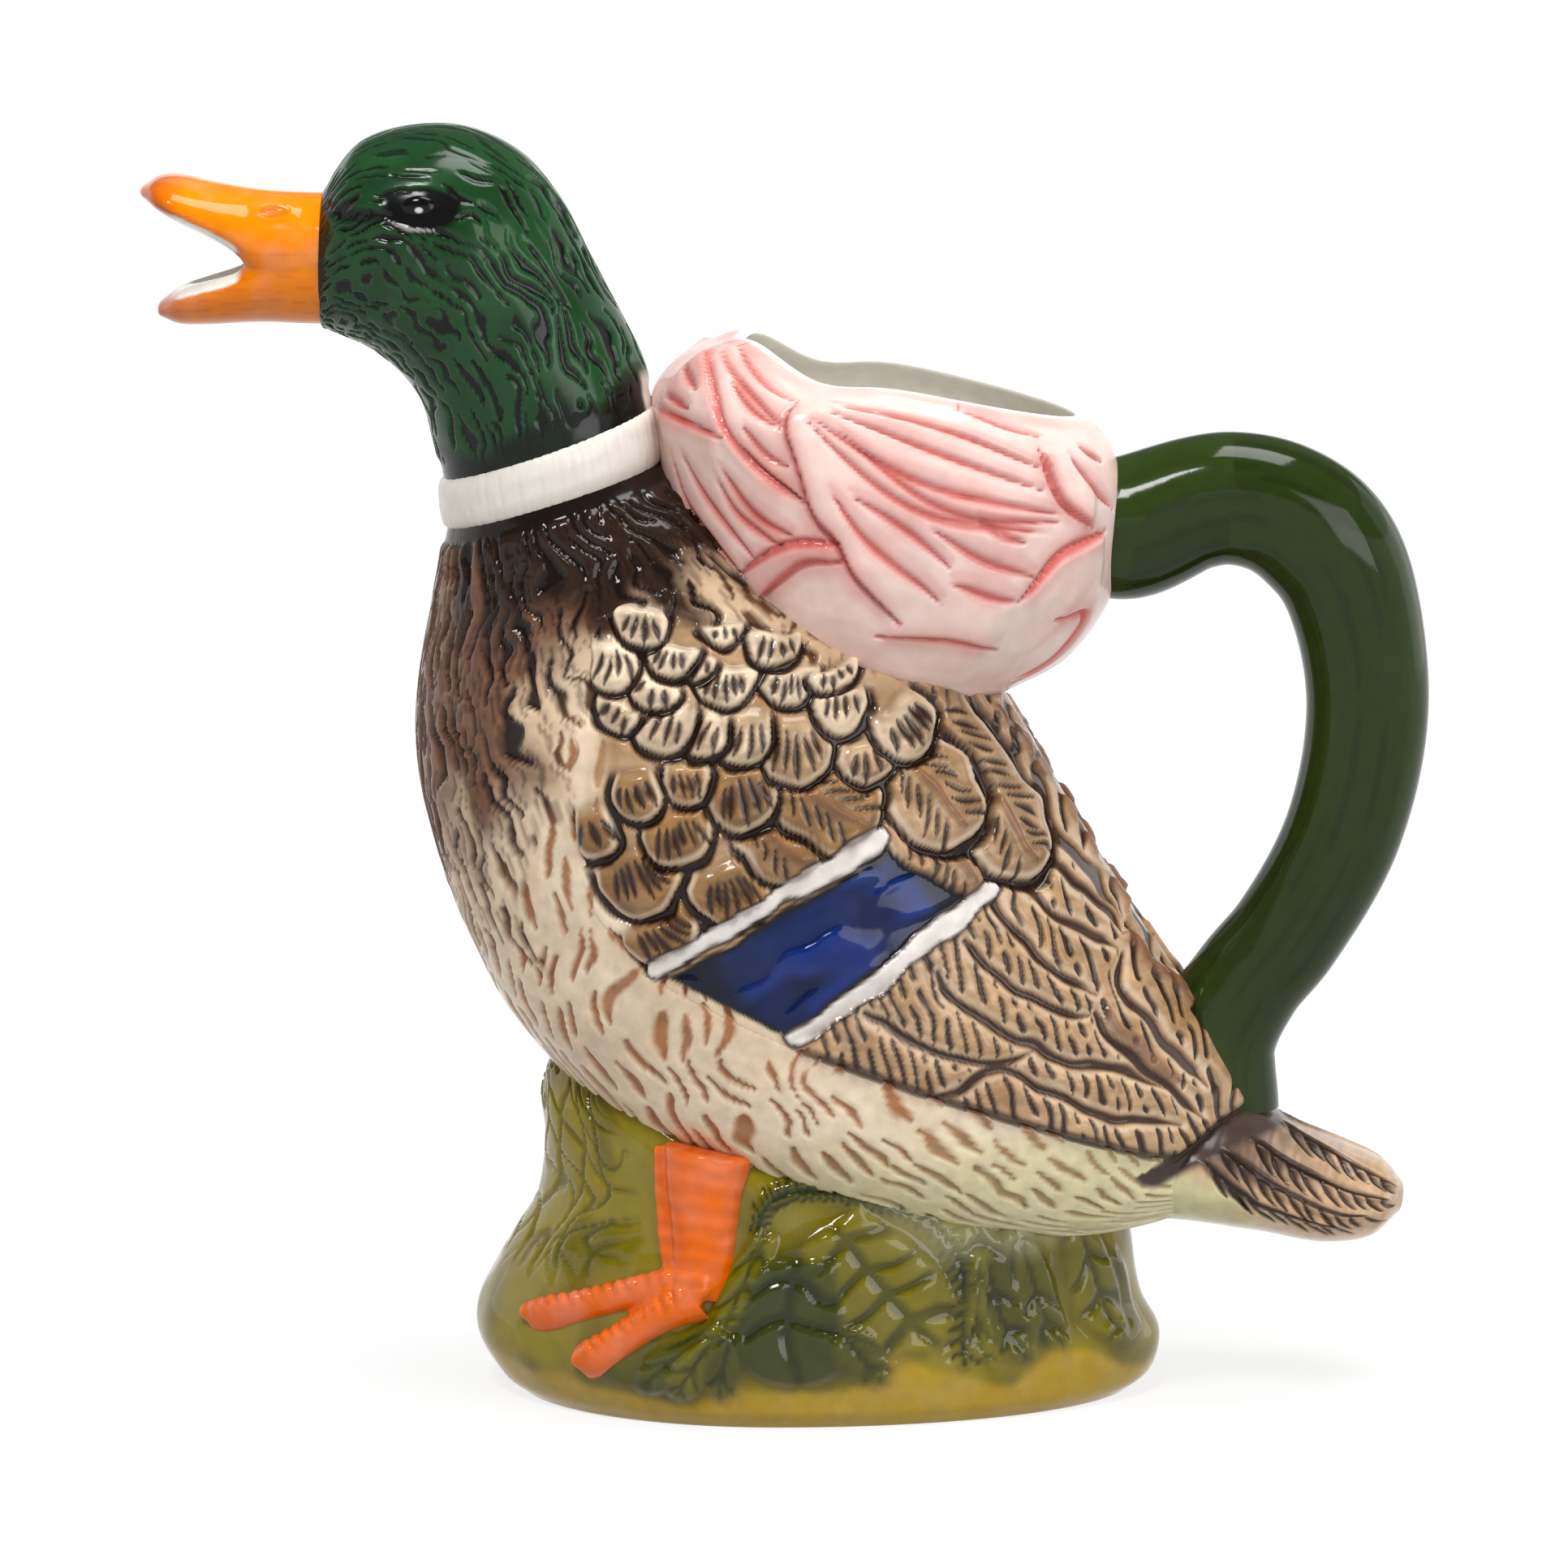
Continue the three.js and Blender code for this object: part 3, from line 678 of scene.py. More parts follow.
def glaze_material(name, gloss=(0.1, 0.24), speck=0.12, ripple=0.05, refraction=1.3):
    """Lead-style glaze over painted colour: mottled body colour, uneven gloss and a faint ripple"""
    material = bpy.data.materials.new(name)
    material.use_nodes = True
    tree = material.node_tree
    place = add_node(tree, "ShaderNodeTexCoord")["Object"]
    paint = add_node(tree, "ShaderNodeAttribute", attribute_name=GLAZE)["Color"]

    def cloud(scale, detail):
        grain = {"Vector": place, "Scale": scale, "Detail": detail}
        return add_node(tree, "ShaderNodeTexNoise", grain)["Fac"]

    def clouded(scale, detail, low, high):
        ends = {"From Min": 0.3, "From Max": 0.7, "To Min": low, "To Max": high}
        return add_node(tree, "ShaderNodeMapRange", {"Value": cloud(scale, detail), **ends})["Result"]

    mottle = {"Value": clouded(420, 4, 1 - speck, 1 + speck), "Saturation": clouded(160, 2, 0.94, 1.06)}
    mottled = add_node(tree, "ShaderNodeHueSaturation", {"Color": paint, **mottle})
    rippled = add_node(tree, "ShaderNodeBump", {"Height": cloud(260, 3), "Strength": ripple, "Distance": MM})
    feed(tree, tree.nodes["Principled BSDF"], {
        "Base Color": mottled["Color"],
        "Roughness": clouded(90, 3, *gloss),
        "Normal": rippled["Normal"],
        "IOR": refraction,
    })
    return material


def settle_piece(piece, material, slot, *nodes):
    """Gives a finished piece its glaze, and puts it in the frame in place of its CAD nodes"""
    piece.data.materials.clear()
    piece.data.materials.append(material)
    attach(piece, JUG)
    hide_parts(*nodes)


def length(name, description, millimetres):
    """A size that shows in the panel"""
    return bpy.props.FloatProperty(name=name, description=description, default=millimetres * MM, min=0,
                                   subtype="DISTANCE", unit="LENGTH", precision=5)


def tone(name, description, red, green, blue):
    """A glaze colour that shows in the panel, from display values (0 to 255)"""
    return bpy.props.FloatVectorProperty(name=name, description=description, size=3, min=0, max=1,
                                         subtype="COLOR", default=linear(red, green, blue))


class CreamerSizes(bpy.types.PropertyGroup):
    """Depths and spacings of the modelling"""
    skin_step: length("Skin step", "Distance between points along the body and base", 0.5)
    fine_step: length("Fine step", "Distance between points on the head, collar, wings and tail", 0.36)
    head_groove: length("Head groove", "Depth of the streaks carved in the head", 0.42)
    breast_groove: length("Breast groove", "Depth of the waves carved in the breast", 0.85)
    belly_groove: length("Belly groove", "Depth of the commas carved in the belly", 0.55)
    wing_rise: length("Wing rise", "How far the wing stands off the body", 0.9)
    feather_lift: length("Feather lift", "How far a feather's tip stands over the next", 1.7)
    quill_rise: length("Quill rise", "How far a flight feather's quill stands up", 0.55)
    barb_depth: length("Barb depth", "Depth of the barbs cut in the feathers", 0.38)
    vein_depth: length("Vein depth", "Depth of the veins in the petals", 0.45)
    crease_depth: length("Crease depth", "Depth of the creases between the petals", 0.9)
    leaf_lift: length("Leaf lift", "How far the leaves on the mound stand up", 0.9)
    scute_rise: length("Scute rise", "How far the scales of the feet stand up", 0.5)


class CreamerGlazes(bpy.types.PropertyGroup):
    """Painted colours under the clear glaze"""
    emerald: tone("Emerald", "Head feathers", 26, 66, 33)
    streak: tone("Streak black", "Streaks on the head and the eye patch", 12, 12, 12)
    ivory: tone("Ivory", "Neck band", 222, 215, 206)
    breast: tone("Breast brown", "Ridges of the breast", 108, 75, 54)
    breast_dark: tone("Breast black", "Grooves of the breast and its top", 32, 22, 18)
    cream: tone("Cream", "Belly", 232, 214, 186)
    comma: tone("Comma tan", "Carved commas on the belly", 186, 137, 100)
    mossy: tone("Mossy cream", "Belly beside the mound", 203, 198, 152)
    scallop: tone("Scallop cream", "Shoulder feathers", 232, 213, 185)
    covert: tone("Covert tan", "Lower wing feathers", 146, 110, 70)
    flight: tone("Flight tan", "Flight and tail feathers", 184, 152, 120)
    outline: tone("Outline brown", "Lines round the feathers", 44, 29, 22)
    quill: tone("Quill brown", "Quills of the flight feathers", 112, 74, 50)
    root: tone("Root brown", "Root of the tail", 70, 56, 50)
    blue: tone("Blue", "Wing mirror", 15, 36, 94)
    # Bar white also paints the highlights on the eye beads and on the lower lids
    bar: tone("Bar white", "Bars on each side of the wing mirror", 216, 209, 203)
    petal: tone("Petal pink", "Petal collar", 236, 209, 199)
    rose: tone("Rose", "Veins and creases of the petals", 200, 98, 90)
    lining: tone("Lining cream", "Inside of the jug", 243, 239, 230)
    stem: tone("Stem green", "Handle", 35, 49, 13)
    orange: tone("Orange", "Bill", 228, 128, 28)
    burnt: tone("Burnt orange", "Edges of the bill", 193, 84, 26)
    foot_orange: tone("Foot orange", "Legs and toes", 228, 107, 42)
    olive: tone("Olive", "Rim of the mound", 172, 140, 38)
    grass: tone("Grass", "Upper mound", 130, 118, 24)
    leaf: tone("Leaf green", "Leaves on the mound", 36, 49, 11)


def sizes_and_tones(context):
    """Sizes in millimetres and glaze colours, by name"""
    lengths, glazes = context.scene.creamer_sizes, context.scene.creamer_glazes
    sizes = {key: getattr(lengths, key) / MM for key in CreamerSizes.__annotations__}
    tones = {key: np.array(getattr(glazes, key)) for key in CreamerGlazes.__annotations__}
    return sizes, tones


# Where the breast's brown gives way to cream, in drawn (x, z), from the collar round to the chest
BREAST_EDGE = [(-6, 117), (-17, 110), (-26, 104.5), (-35, 97.5), (-40, 89), (-43, 79), (-45.5, 68)]
# Cells of the breast's pattern round the body
BREAST_CELLS = 60
# The strokes of the belly lie in a flat pattern round it, at this tilt
BELLY_MM_PER_DEGREE = 0.45
BELLY_TILT = math.radians(20)
# Upper edge of the dark band where the tail begins, from the flank up to the handle
TAIL_LINE = [(50.6, 35.2), (56.2, 38), (61.1, 39.9), (64.1, 40.4), (70, 40.6)]

# The left wing's edge on the body, in drawn (x, z)
WING_EDGE = [
    (-27, 112.5), (-29.6, 97), (-30.8, 84.2), (-27.6, 72), (-20.2, 62.4), (0.2, 52.5), (17.3, 45.8),
    (36.1, 39.1), (49.6, 34.5), (54, 34), (60, 37.6), (64, 38.4), (72, 38.6), (60, 60), (50, 80), (40, 95),
    (31, 101), (29.5, 100.8), (17, 105.4), (4, 109.8), (-7, 114), (-16, 117),
]
# Half the gap between the wings along the back, and how deep their backs lie under the body's own skin
WING_PARTING = 3
WING_SINK = 1.6
# What the wing's points cover: degrees round the body, and shares of the body's length
WING_TURN = (92, 250)
WING_SHARES = (0.1, 0.97)
# The level that feathers lie on, over the body's own skin, and the width of the dark lines round them
FEATHER_BED = 0.2
OUTLINE_WIDTH = 1.15
# Shares of red, green and blue light that pooled glaze lets through on the body, the wings and the mound
BODY_POOL = (0.72, 0.58, 0.48)
WING_POOL = (0.45, 0.36, 0.3)
MOUND_POOL = (0.6, 0.62, 0.45)
# Scallop feathers from the lowest up: root (x, z), tip (x, z), width
SCALLOPS = [
    (-18.8, 72.6, -13.3, 67.0, 10.5), (-8.0, 79.8, -6.0, 71.0, 10.5), (-21.6, 81.5, -16.7, 72.6, 11.4),
    (-4.7, 85.7, 4.1, 77.7, 8.8), (-26.2, 86.7, -24.9, 79.5, 5.0), (-15.4, 86.6, -12.4, 79.5, 10.1),
    (0.5, 90.6, 12.0, 82.7, 11.4), (-6.2, 92.6, -4.6, 83.5, 8.4), (-13.8, 93.6, -12.8, 86.9, 6.3),
    (-20.6, 92.2, -19.2, 84.5, 6.3), (10.7, 95.7, 11.5, 89.4, 7.6), (0.9, 99.1, 2.1, 89.1, 9.3),
    (-4.8, 99.9, -6.6, 92.4, 7.1), (-9.5, 99.9, -11.6, 93.5, 5.5), (-14.8, 101.7, -17.5, 93.9, 7.6),
    (-21.6, 100.7, -24.0, 96.7, 5.9), (7.6, 101.8, 7.5, 95.9, 6.9), (14.0, 99.9, 19.0, 92.9, 8.0),
    (-16.9, 104.0, -18.4, 99.5, 5.9), (0.5, 104.8, 0.9, 99.7, 8.2), (-7.9, 105.5, -7.8, 100.0, 8.4),
    (-11.7, 106.4, -12.4, 103.6, 4.6), (6.3, 104.7, 7.7, 101.2, 6.3), (-14.9, 108.4, -15.8, 104.0, 6.7),
    (-23.4, 108.7, -23.0, 101.4, 6.3), (-1.5, 109.5, -1.3, 105.1, 7.6), (-8.5, 110.4, -8.3, 107.3, 5.9),
    (-19.2, 113.2, -19.7, 107.6, 7.1),
]
# A feather longer than this has a quill
QUILLED_LENGTH = 10.4
# Long feathers over the back, from the lowest up
TERTIALS = [(15.7, 86.7, 26.9, 74.3, 10.9), (20, 98.5, 34.4, 75, 10), (15.7, 93.4, 25.0, 80.7, 11.4)]
# Dark edges of the flight feathers
FLIGHT_EDGES = [
    [(11, 59), (16, 55.5), (23.8, 52.1), (29.1, 51.4), (34.1, 52.8)],
    [(20.1, 64), (22.7, 60.5), (27.5, 56.7), (34.1, 52.8), (38.6, 50.2), (44.3, 49.5), (52, 45)],
    [(23.8, 68.1), (29, 62.8), (33.7, 59.1), (38.1, 56.7), (41.7, 56.9)],
    [(27.5, 74), (32.2, 67.6), (37, 62.6), (42, 59)],
    [(31.6, 75), (35.6, 71.1), (40.2, 67.5), (45.2, 63.9)],
    [(35.3, 80), (36.7, 77.2), (39.3, 74), (42.9, 70.4), (46.2, 65.7)],
    [(34.1, 89.5), (36.7, 81.2), (39.7, 77.1), (42.3, 74), (45.8, 67.9)],
    [(20.8, 47.2), (29.2, 50.6), (34, 48), (43.6, 43.2), (53.9, 40.5)],
    [(41.7, 56.9), (45.1, 51.7), (51.4, 46.2), (57, 40.9)],
    [(46, 63), (45.2, 59.5), (48.9, 54.4), (53, 49.5), (57.4, 45)],
]
# Orange-brown quills
QUILLS = [
    [(28.5, 97), (34.5, 89.6), (38.1, 84.3), (42.4, 76.9), (46.8, 69.2)],
    [(46.5, 65.9), (50.1, 61.1), (55.4, 55)],
    [(43.4, 56.6), (46.8, 51.9), (53, 46.4)],
]
# Spacing, length and lean of the barbs between the flight feathers' edges
BARB_STEP = 1.95
BARB_LENGTH = 8.8
BARB_LEAN = 0.28
# The blue mirror: its corners, the middles of its two ends, and the white bars beside it
MIRROR = [(-16.1, 63.6), (13.8, 80.9), (25, 73.7), (0.6, 55.5)]
MIRROR_ENDS = ((-7.7, 59.5), (19.4, 77.3))
MIRROR_BARS = [[(-17.2, 64.9), (-3, 73.4), (12.6, 82)], [(0.8, 55.4), (12, 62.5), (20, 69), (27.3, 74.1)]]
BAR_WIDTH = 2.6


def paint_root(tones, skin, level, zone=1):
    """The dark band where the tail begins, below the wing and above the tail's own feathers, at a level"""
    gap, _, side = line_distance(skin.x, skin.z, curved(TAIL_LINE, 4))
    band = smooth(0.4, -0.4, side * gap) * smooth(3.6, 2.4, gap) * zone
    skin.tint(tones["root"], band)
    skin.settle(level, band)


def plumage(sizes, tones, skin):
    """Carves and paints the waves of the breast and the strokes of the belly"""
    v = skin.round_the_piece(BREAST_CELLS)
    drift = noise(skin.along / 8, v / 3, 11, BREAST_CELLS // 3) - 0.5
    wave = noise(skin.along / 3, v / 1.5, 12, BREAST_CELLS * 2 // 3) - 0.5
    wander = 14 * (noise(skin.along / 11, v + 2 * drift, 13, BREAST_CELLS) - 0.5)
    gap, _, side = line_distance(skin.x, skin.z, curved(BREAST_EDGE, 4))
    inward = wander - side * gap
    brown = smooth(-6, 4, inward)
    dark_cuts = np.maximum(smooth(-15, -1, inward), 0.5 * smooth(100, 108, skin.z))
    long_cuts = strokes(skin.along / 14, v + 2 * drift + 0.9 * wave, 20, BREAST_CELLS, 0.3)
    fine_cuts = strokes(skin.along / 6, 2 * v + 4 * drift + 1.2 * wave, 30, 2 * BREAST_CELLS, 0.26)
    cuts = np.maximum(long_cuts, 0.5 * fine_cuts)
    arc = skin.turn * BELLY_MM_PER_DEGREE
    ahead = skin.along * math.cos(BELLY_TILT) - arc * math.sin(BELLY_TILT)
    across = skin.along * math.sin(BELLY_TILT) + arc * math.cos(BELLY_TILT)
    dashes = strokes(ahead / 8.6, across / 2.8 + 1.5 * drift + 0.4 * wave, 40, None, 0.3)
    carved = mix(dashes, cuts, np.maximum(smooth(0.25, 0.38, dark_cuts), smooth(99, 106, skin.z)))
    black = smooth(-50, -40, skin.x + wander) * smooth(105, 114, skin.z + 0.5 * wander) * brown
    moss = smooth(44, 30, skin.z - 0.12 * skin.x)
    flush = noise(skin.along / 9, v / 3, 14) * smooth(30, 60, skin.z)
    blush = smooth(-18, -3, inward)
    ridge = blend(tones["cream"], tones["flight"], np.maximum(0.5 * flush, 0.6 * blush))
    ridge = blend(ridge, tones["flight"], smooth(110, 140, skin.turn))
    ridge = blend(ridge, tones["mossy"], 0.75 * moss)
    ridge = blend(ridge, tones["breast"], brown)
    ridge = blend(ridge, tones["breast_dark"], 0.92 * black)
    sunk = blend(tones["comma"], 0.8 * tones["mossy"], 0.75 * moss)
    sunk = blend(sunk, tones["quill"], smooth(0, 0.5, dark_cuts))
    sunk = blend(sunk, 0.6 * tones["breast_dark"], smooth(0.4, 1, dark_cuts))
    brushed = noise(skin.x / 3, skin.z / 0.5, 15) - 0.5
    skin.colour[:] = blend(ridge * (1 + 0.3 * brown * brushed)[..., None], sunk, 0.95 * carved)
    rims = 4 * carved * (1 - carved)
    deep = mix(sizes["belly_groove"], sizes["breast_groove"], dark_cuts) * (1 - 0.35 * black)
    skin.lift(0.2 + 0.12 * rims - deep * carved + 0.3 * drift)
    below_band = smooth(7.6, 6.2, skin.along)
    skin.tint(0.6 * tones["breast_dark"], skin.spread(0.9 * below_band))
    skin.settle(-0.3, skin.spread(below_band))
    paint_root(tones, skin, 0)


def wing_skin(sizes, tones, skin, rng):
    """Lays the feathers of the left wing, from the wing's tip up to the shoulder"""
    u = skin.x + 1.1 * (noise(skin.x / 3.4, skin.z / 3.4, 49) - 0.5)
    v = skin.z + 1.1 * (noise(skin.x / 3.4, skin.z / 3.4, 50) - 0.5)
    plumage(sizes, tones, skin)
    edge_depth = polygon_depth(skin.x, skin.z, np.array(WING_EDGE))
    parting = -skin.y - WING_PARTING
    depth = np.minimum(edge_depth, parting)
    (bar_x, bar_z), (bar_end_x, bar_end_z) = MIRROR_BARS[1][0], MIRROR_BARS[1][-1]
    slope = (bar_end_z - bar_z) / (bar_end_x - bar_x)
    below_bar = smooth(-0.5, 0.5, slope * (u - bar_x) - (v - bar_z))
    clear_of_edge = smooth(2.1, 2.8, edge_depth) * smooth(0.2, 0.9, parting)
    flight = np.maximum(below_bar, smooth(15, 19, u)) * clear_of_edge
    shoulder = smooth(3, 7, depth) * (1 - flight)
    hatch = noise(u / 2.6, v / 0.42, 51) - 0.5
    cloud = noise(u / 6, v / 6, 52)
    ground = blend(tones["flight"], tones["covert"], 0.25 + 0.6 * cloud)
    ground = ground * (1 + 0.4 * hatch[..., None])
    bedded = np.maximum(shoulder, flight)
    skin.colour[:] = blend(skin.colour, ground, 0.9 * bedded)
    skin.settle(FEATHER_BED, bedded)
    skin.lift(sizes["wing_rise"] * flight * smooth(75, 55, v))
    flight_feathers(sizes, tones, skin, u, v, flight)
    for x, z, tip_x, tip_z, width in TERTIALS:
        colour = mix(tones["flight"], tones["covert"], rng.uniform(0.1, 0.5))
        quilled_feather(sizes, tones, skin, u, v, (x, z), (tip_x, tip_z), width, 1.5, colour, 0.6, rng)
    for x, z, tip_x, tip_z, width in SCALLOPS:
        high = smooth(84, 99, tip_z)
        colour = mix(tones["covert"], tones["scallop"], 0.9 * high) * rng.uniform(0.94, 1.06)
        lay = quilled_feather if math.hypot(tip_x - x, tip_z - z) > QUILLED_LENGTH else scallop
        lay(sizes, tones, skin, u, v, (x, z), (tip_x, tip_z), width, 1.05, colour, mix(0.85, 0.65, high), rng)
    mirror(tones, skin, u, v)
    paint_root(tones, skin, 0.4)
    lower_edge = smooth(58, 52, v) * smooth(-1, 6, u)
    skin.tint(tones["outline"], 0.8 * smooth(1.2, 0.4, np.abs(edge_depth - 2.4)) * lower_edge)
    stain(skin, WING_POOL, 5)
    skin.lift(-1.4 * smooth(1.8, 0.2, depth))
    return depth


def lay_feather(sizes, tones, skin, u, v, root, tip, width, blunt, colour, washed):
    """One overlapping feather: a dark line below and beside it, then its own puffed and painted surface"""
    root = np.asarray(root) + 0.18 * (np.asarray(root) - np.asarray(tip))
    where, along, across, edge = leaf_frame(u, v, root, tip, 1.08 * width, blunt)
    clear_of_root = smooth(0.05, 0.35, along)
    inside = smooth(-0.05, 0.3, edge) * clear_of_root
    width_here = OUTLINE_WIDTH * (0.55 + 0.9 * noise(u[where] / 4, v[where] / 4, 59))
    line = smooth(-1, -0.55, edge / width_here) * (1 - inside) * clear_of_root
    skin.settle(FEATHER_BED - 0.7, line, where)
    skin.tint(tones["outline"], 0.95 * line, where)
    puff = 1 - (1 - np.clip(edge / 2.3, 0, 1)) ** 2
    rise = 0.35 + 0.65 * np.clip(along, 0, 1)
    skin.settle(FEATHER_BED + sizes["feather_lift"] * rise * puff, inside, where)
    hatch = noise(u[where] / 2.6, v[where] / 0.42, 53) - 0.5
    cloud = noise(u[where] / 3, v[where] / 3, 54)
    dusk = smooth(0.05, 0.45, along) * smooth(1.05, 0.5, np.abs(across)) * np.clip(0.1 + 1.3 * cloud, 0, 1)
    # Lighter on the feather's crown and darker towards its edge: painted shading of its dome
    painted = colour * (0.64 + 0.46 * puff + 0.6 * hatch * (0.4 + dusk))[..., None]
    wash = mix(tones["covert"], tones["outline"], 0.5)
    painted = blend(painted, wash, washed * dusk)
    rim = smooth(0, 0.3, edge) * smooth(1.1, 0.5, edge)
    painted = blend(painted, tones["scallop"], 0.6 * rim)
    skin.colour[where] = blend(skin.colour[where], painted, inside)


def scallop(sizes, tones, skin, u, v, root, tip, width, blunt, colour, washed, rng):
    """A rounded shoulder feather with a fan of barbs"""
    lay_feather(sizes, tones, skin, u, v, root, tip, width, blunt, colour, washed)
    span, ahead, side = heading(root, tip)
    count = int(np.clip(round(width / 1.7), 3, 6))
    for place in np.linspace(-0.64, 0.64, count):
        bend = 0.45 * place + rng.uniform(-0.1, 0.1)
        start = root + ahead * span * rng.uniform(0.22, 0.36) + side * place * width * 0.36
        end = start + (ahead + side * bend) * span * rng.uniform(0.5, 0.68) * (1 - 0.4 * abs(place))
        barb = rng.uniform(1.3, 1.8)
        groove(skin, u, v, [start, end], barb, sizes["barb_depth"], 0.8 * tones["outline"], 0.95, 0.8)


def quilled_feather(sizes, tones, skin, u, v, root, tip, width, blunt, colour, washed, rng):
    """A leaf-shaped feather: dark barbs on both sides of an orange-brown quill"""
    lay_feather(sizes, tones, skin, u, v, root, tip, width, blunt, colour, washed)
    span, ahead, side = heading(root, tip)
    quill = [root, root + ahead * (span - 2.2)]
    groove(skin, u, v, quill, 1.5, -sizes["quill_rise"], tones["quill"], 0.85, 0.6)
    for flank in (-1, 1):
        for place in np.arange(1.2, span - 3.2, 2):
            start = root + ahead * (place + rng.uniform(-0.3, 0.3)) + side * flank * 1.1
            slope = ahead * rng.uniform(1.0, 1.4) + side * flank
            end = start + slope / np.linalg.norm(slope) * width * rng.uniform(0.3, 0.42)
            barb = rng.uniform(0.9, 1.3)
            groove(skin, u, v, [start, end], barb, sizes["barb_depth"], tones["outline"], 0.95, 0.8)


def flight_feathers(sizes, tones, skin, u, v, zone):
    """Long feathers side by side: dark edges, and rows of steep barbs between them"""
    near = np.full(u.shape, 9.0)
    for edge in FLIGHT_EDGES:
        gap, share, _ = line_distance(u, v, curved(edge, 4))
        near = np.minimum(near, gap + 0.55 * smooth(0.82, 1, share) + 0.3 * smooth(0.1, 0, share))
    lean = (u + BARB_LEAN * v + 0.9 * noise(u / 5, v / 5, 55)) / BARB_STEP
    column = np.floor(lean)
    offset = lean - column - 0.5 - 0.3 * (lattice(column, 0, 56) - 0.5)
    row = v / BARB_LENGTH + lattice(column, 0, 57)
    to_end = BARB_LENGTH * (0.5 - np.abs(row - np.floor(row) - 0.5)) - 0.3
    room = np.minimum(near - 0.75, to_end)
    half = (0.17 + 0.1 * lattice(column, np.floor(row), 58)) * smooth(-0.3, 0.9, room)
    barbs = zone * smooth(1.2, 0.5, np.abs(offset) / (half + 1e-6)) * smooth(0, 0.3, room)
    skin.lift(0.6 * zone * smooth(0.3, 2.2, near))
    # A pale band beside each dark edge, where the feather rises: a painted highlight
    skin.tint(tones["scallop"], 0.35 * zone * smooth(0.6, 0.9, near) * smooth(1.7, 1.1, near))
    skin.lift(-sizes["barb_depth"] * barbs)
    skin.tint(tones["outline"], 0.95 * barbs)
    edges = zone * smooth(0.72, 0.35, near)
    skin.lift(-0.3 * edges)
    skin.tint(tones["outline"], 0.9 * edges)
    for quill in QUILLS:
        groove(skin, u, v, curved(quill), 1.9, -sizes["quill_rise"], tones["quill"], 0.8, 0.5)


def mirror(tones, skin, u, v):
    """The blue wing mirror between its two white bars"""
    depth = polygon_depth(u, v, np.array(MIRROR))
    inside = smooth(-0.2, 0.3, depth)
    reach, ahead, side = heading(*MIRROR_ENDS)
    du, dv = u - MIRROR_ENDS[0][0], v - MIRROR_ENDS[0][1]
    along = du * ahead[0] + dv * ahead[1]
    across = du * side[0] + dv * side[1]
    ripple = smooth(0.35, 0.65, noise(along / 7 + across / 9, across / 3, 60))
    cloud = smooth(0.3, 0.7, noise(along / 6, across / 3.4, 62))
    blue = blend(1.25 * tones["blue"], 0.5 * tones["blue"], cloud)
    blue = blend(blue, 0.45 * tones["blue"], 0.6 * ripple)
    uneven = noise(along / 2, across / 2, 63)
    ends = np.maximum(smooth(7, 1, along + 2 * uneven), smooth(reach - 2.5, reach - 0.5, along))
    black = np.maximum(0.85 * ends, smooth(1.3, 0.3, depth))
    blue = blend(blue, 1.3 * tones["streak"], black)
    skin.colour[:] = blend(skin.colour, blue, inside)
    skin.settle(FEATHER_BED + 0.2 - 0.5 * ripple, inside)
    for bar in MIRROR_BARS:
        gap, share, _ = line_distance(u, v, curved(bar))
        half = 0.5 * BAR_WIDTH * (0.86 + 0.4 * noise(u / 2.2, v / 2.2, 64)) * (0.75 + 0.35 * share)
        skin.tint(tones["outline"], 0.9 * smooth(0.6, 0.25, gap - half))
        inside = smooth(0.1, -0.3, gap - half)
        skin.tint(tones["bar"] * 0.94, inside)
        skin.settle(FEATHER_BED + 0.55, inside)


def wing_piece(name, skin, depth):
    """A closed layer over the body from the part of a skin inside the wing's edge"""
    rows, columns = depth.shape
    number = np.arange(rows * columns).reshape(rows, columns)
    quads = np.stack([number[:-1, :-1], number[:-1, 1:], number[1:, 1:], number[1:, :-1]], -1).reshape(-1, 4)
    kept = (depth.ravel()[quads] > 0).all(1)
    quads = quads[kept]
    used, quads = np.unique(quads, return_inverse=True)
    quads = quads.reshape(-1, 4)
    outer = skin.surface().reshape(-1, 3)[used]
    inner = (skin.points - WING_SINK * skin.normals).reshape(-1, 3)[used]
    tones = skin.colour.reshape(-1, 3)[used]
    corner = outer[quads]
    facing = np.cross(corner[:, 1] - corner[:, 0], corner[:, 2] - corner[:, 0])
    if (facing * skin.normals.reshape(-1, 3)[used][quads[:, 0]]).sum() < 0:
        quads = quads[:, ::-1]
    sides = np.stack([quads, np.roll(quads, -1, 1)], -1).reshape(-1, 2)
    key = np.sort(sides, 1)
    _, first, counts = np.unique(key, axis=0, return_index=True, return_counts=True)
    border = sides[first[counts == 1]]
    count = len(used)
    rim = np.stack([border[:, 1], border[:, 0], border[:, 0] + count, border[:, 1] + count], -1)
    back = quads[:, ::-1] + count
    vertices = np.concatenate([outer, inner])
    return piece_from(name, vertices, [quads, back, rim], np.concatenate([tones, tones]))


# Shares of the body's columns and the degrees they have reached: closer on breast and belly than on the back
BODY_TURNS = [(0, 90), (0.06, 130), (0.94, 410), (1, 450)]
# Under a wing the body's skin sinks by this much, so that the feathers cover it
UNDER_WING = 1.8


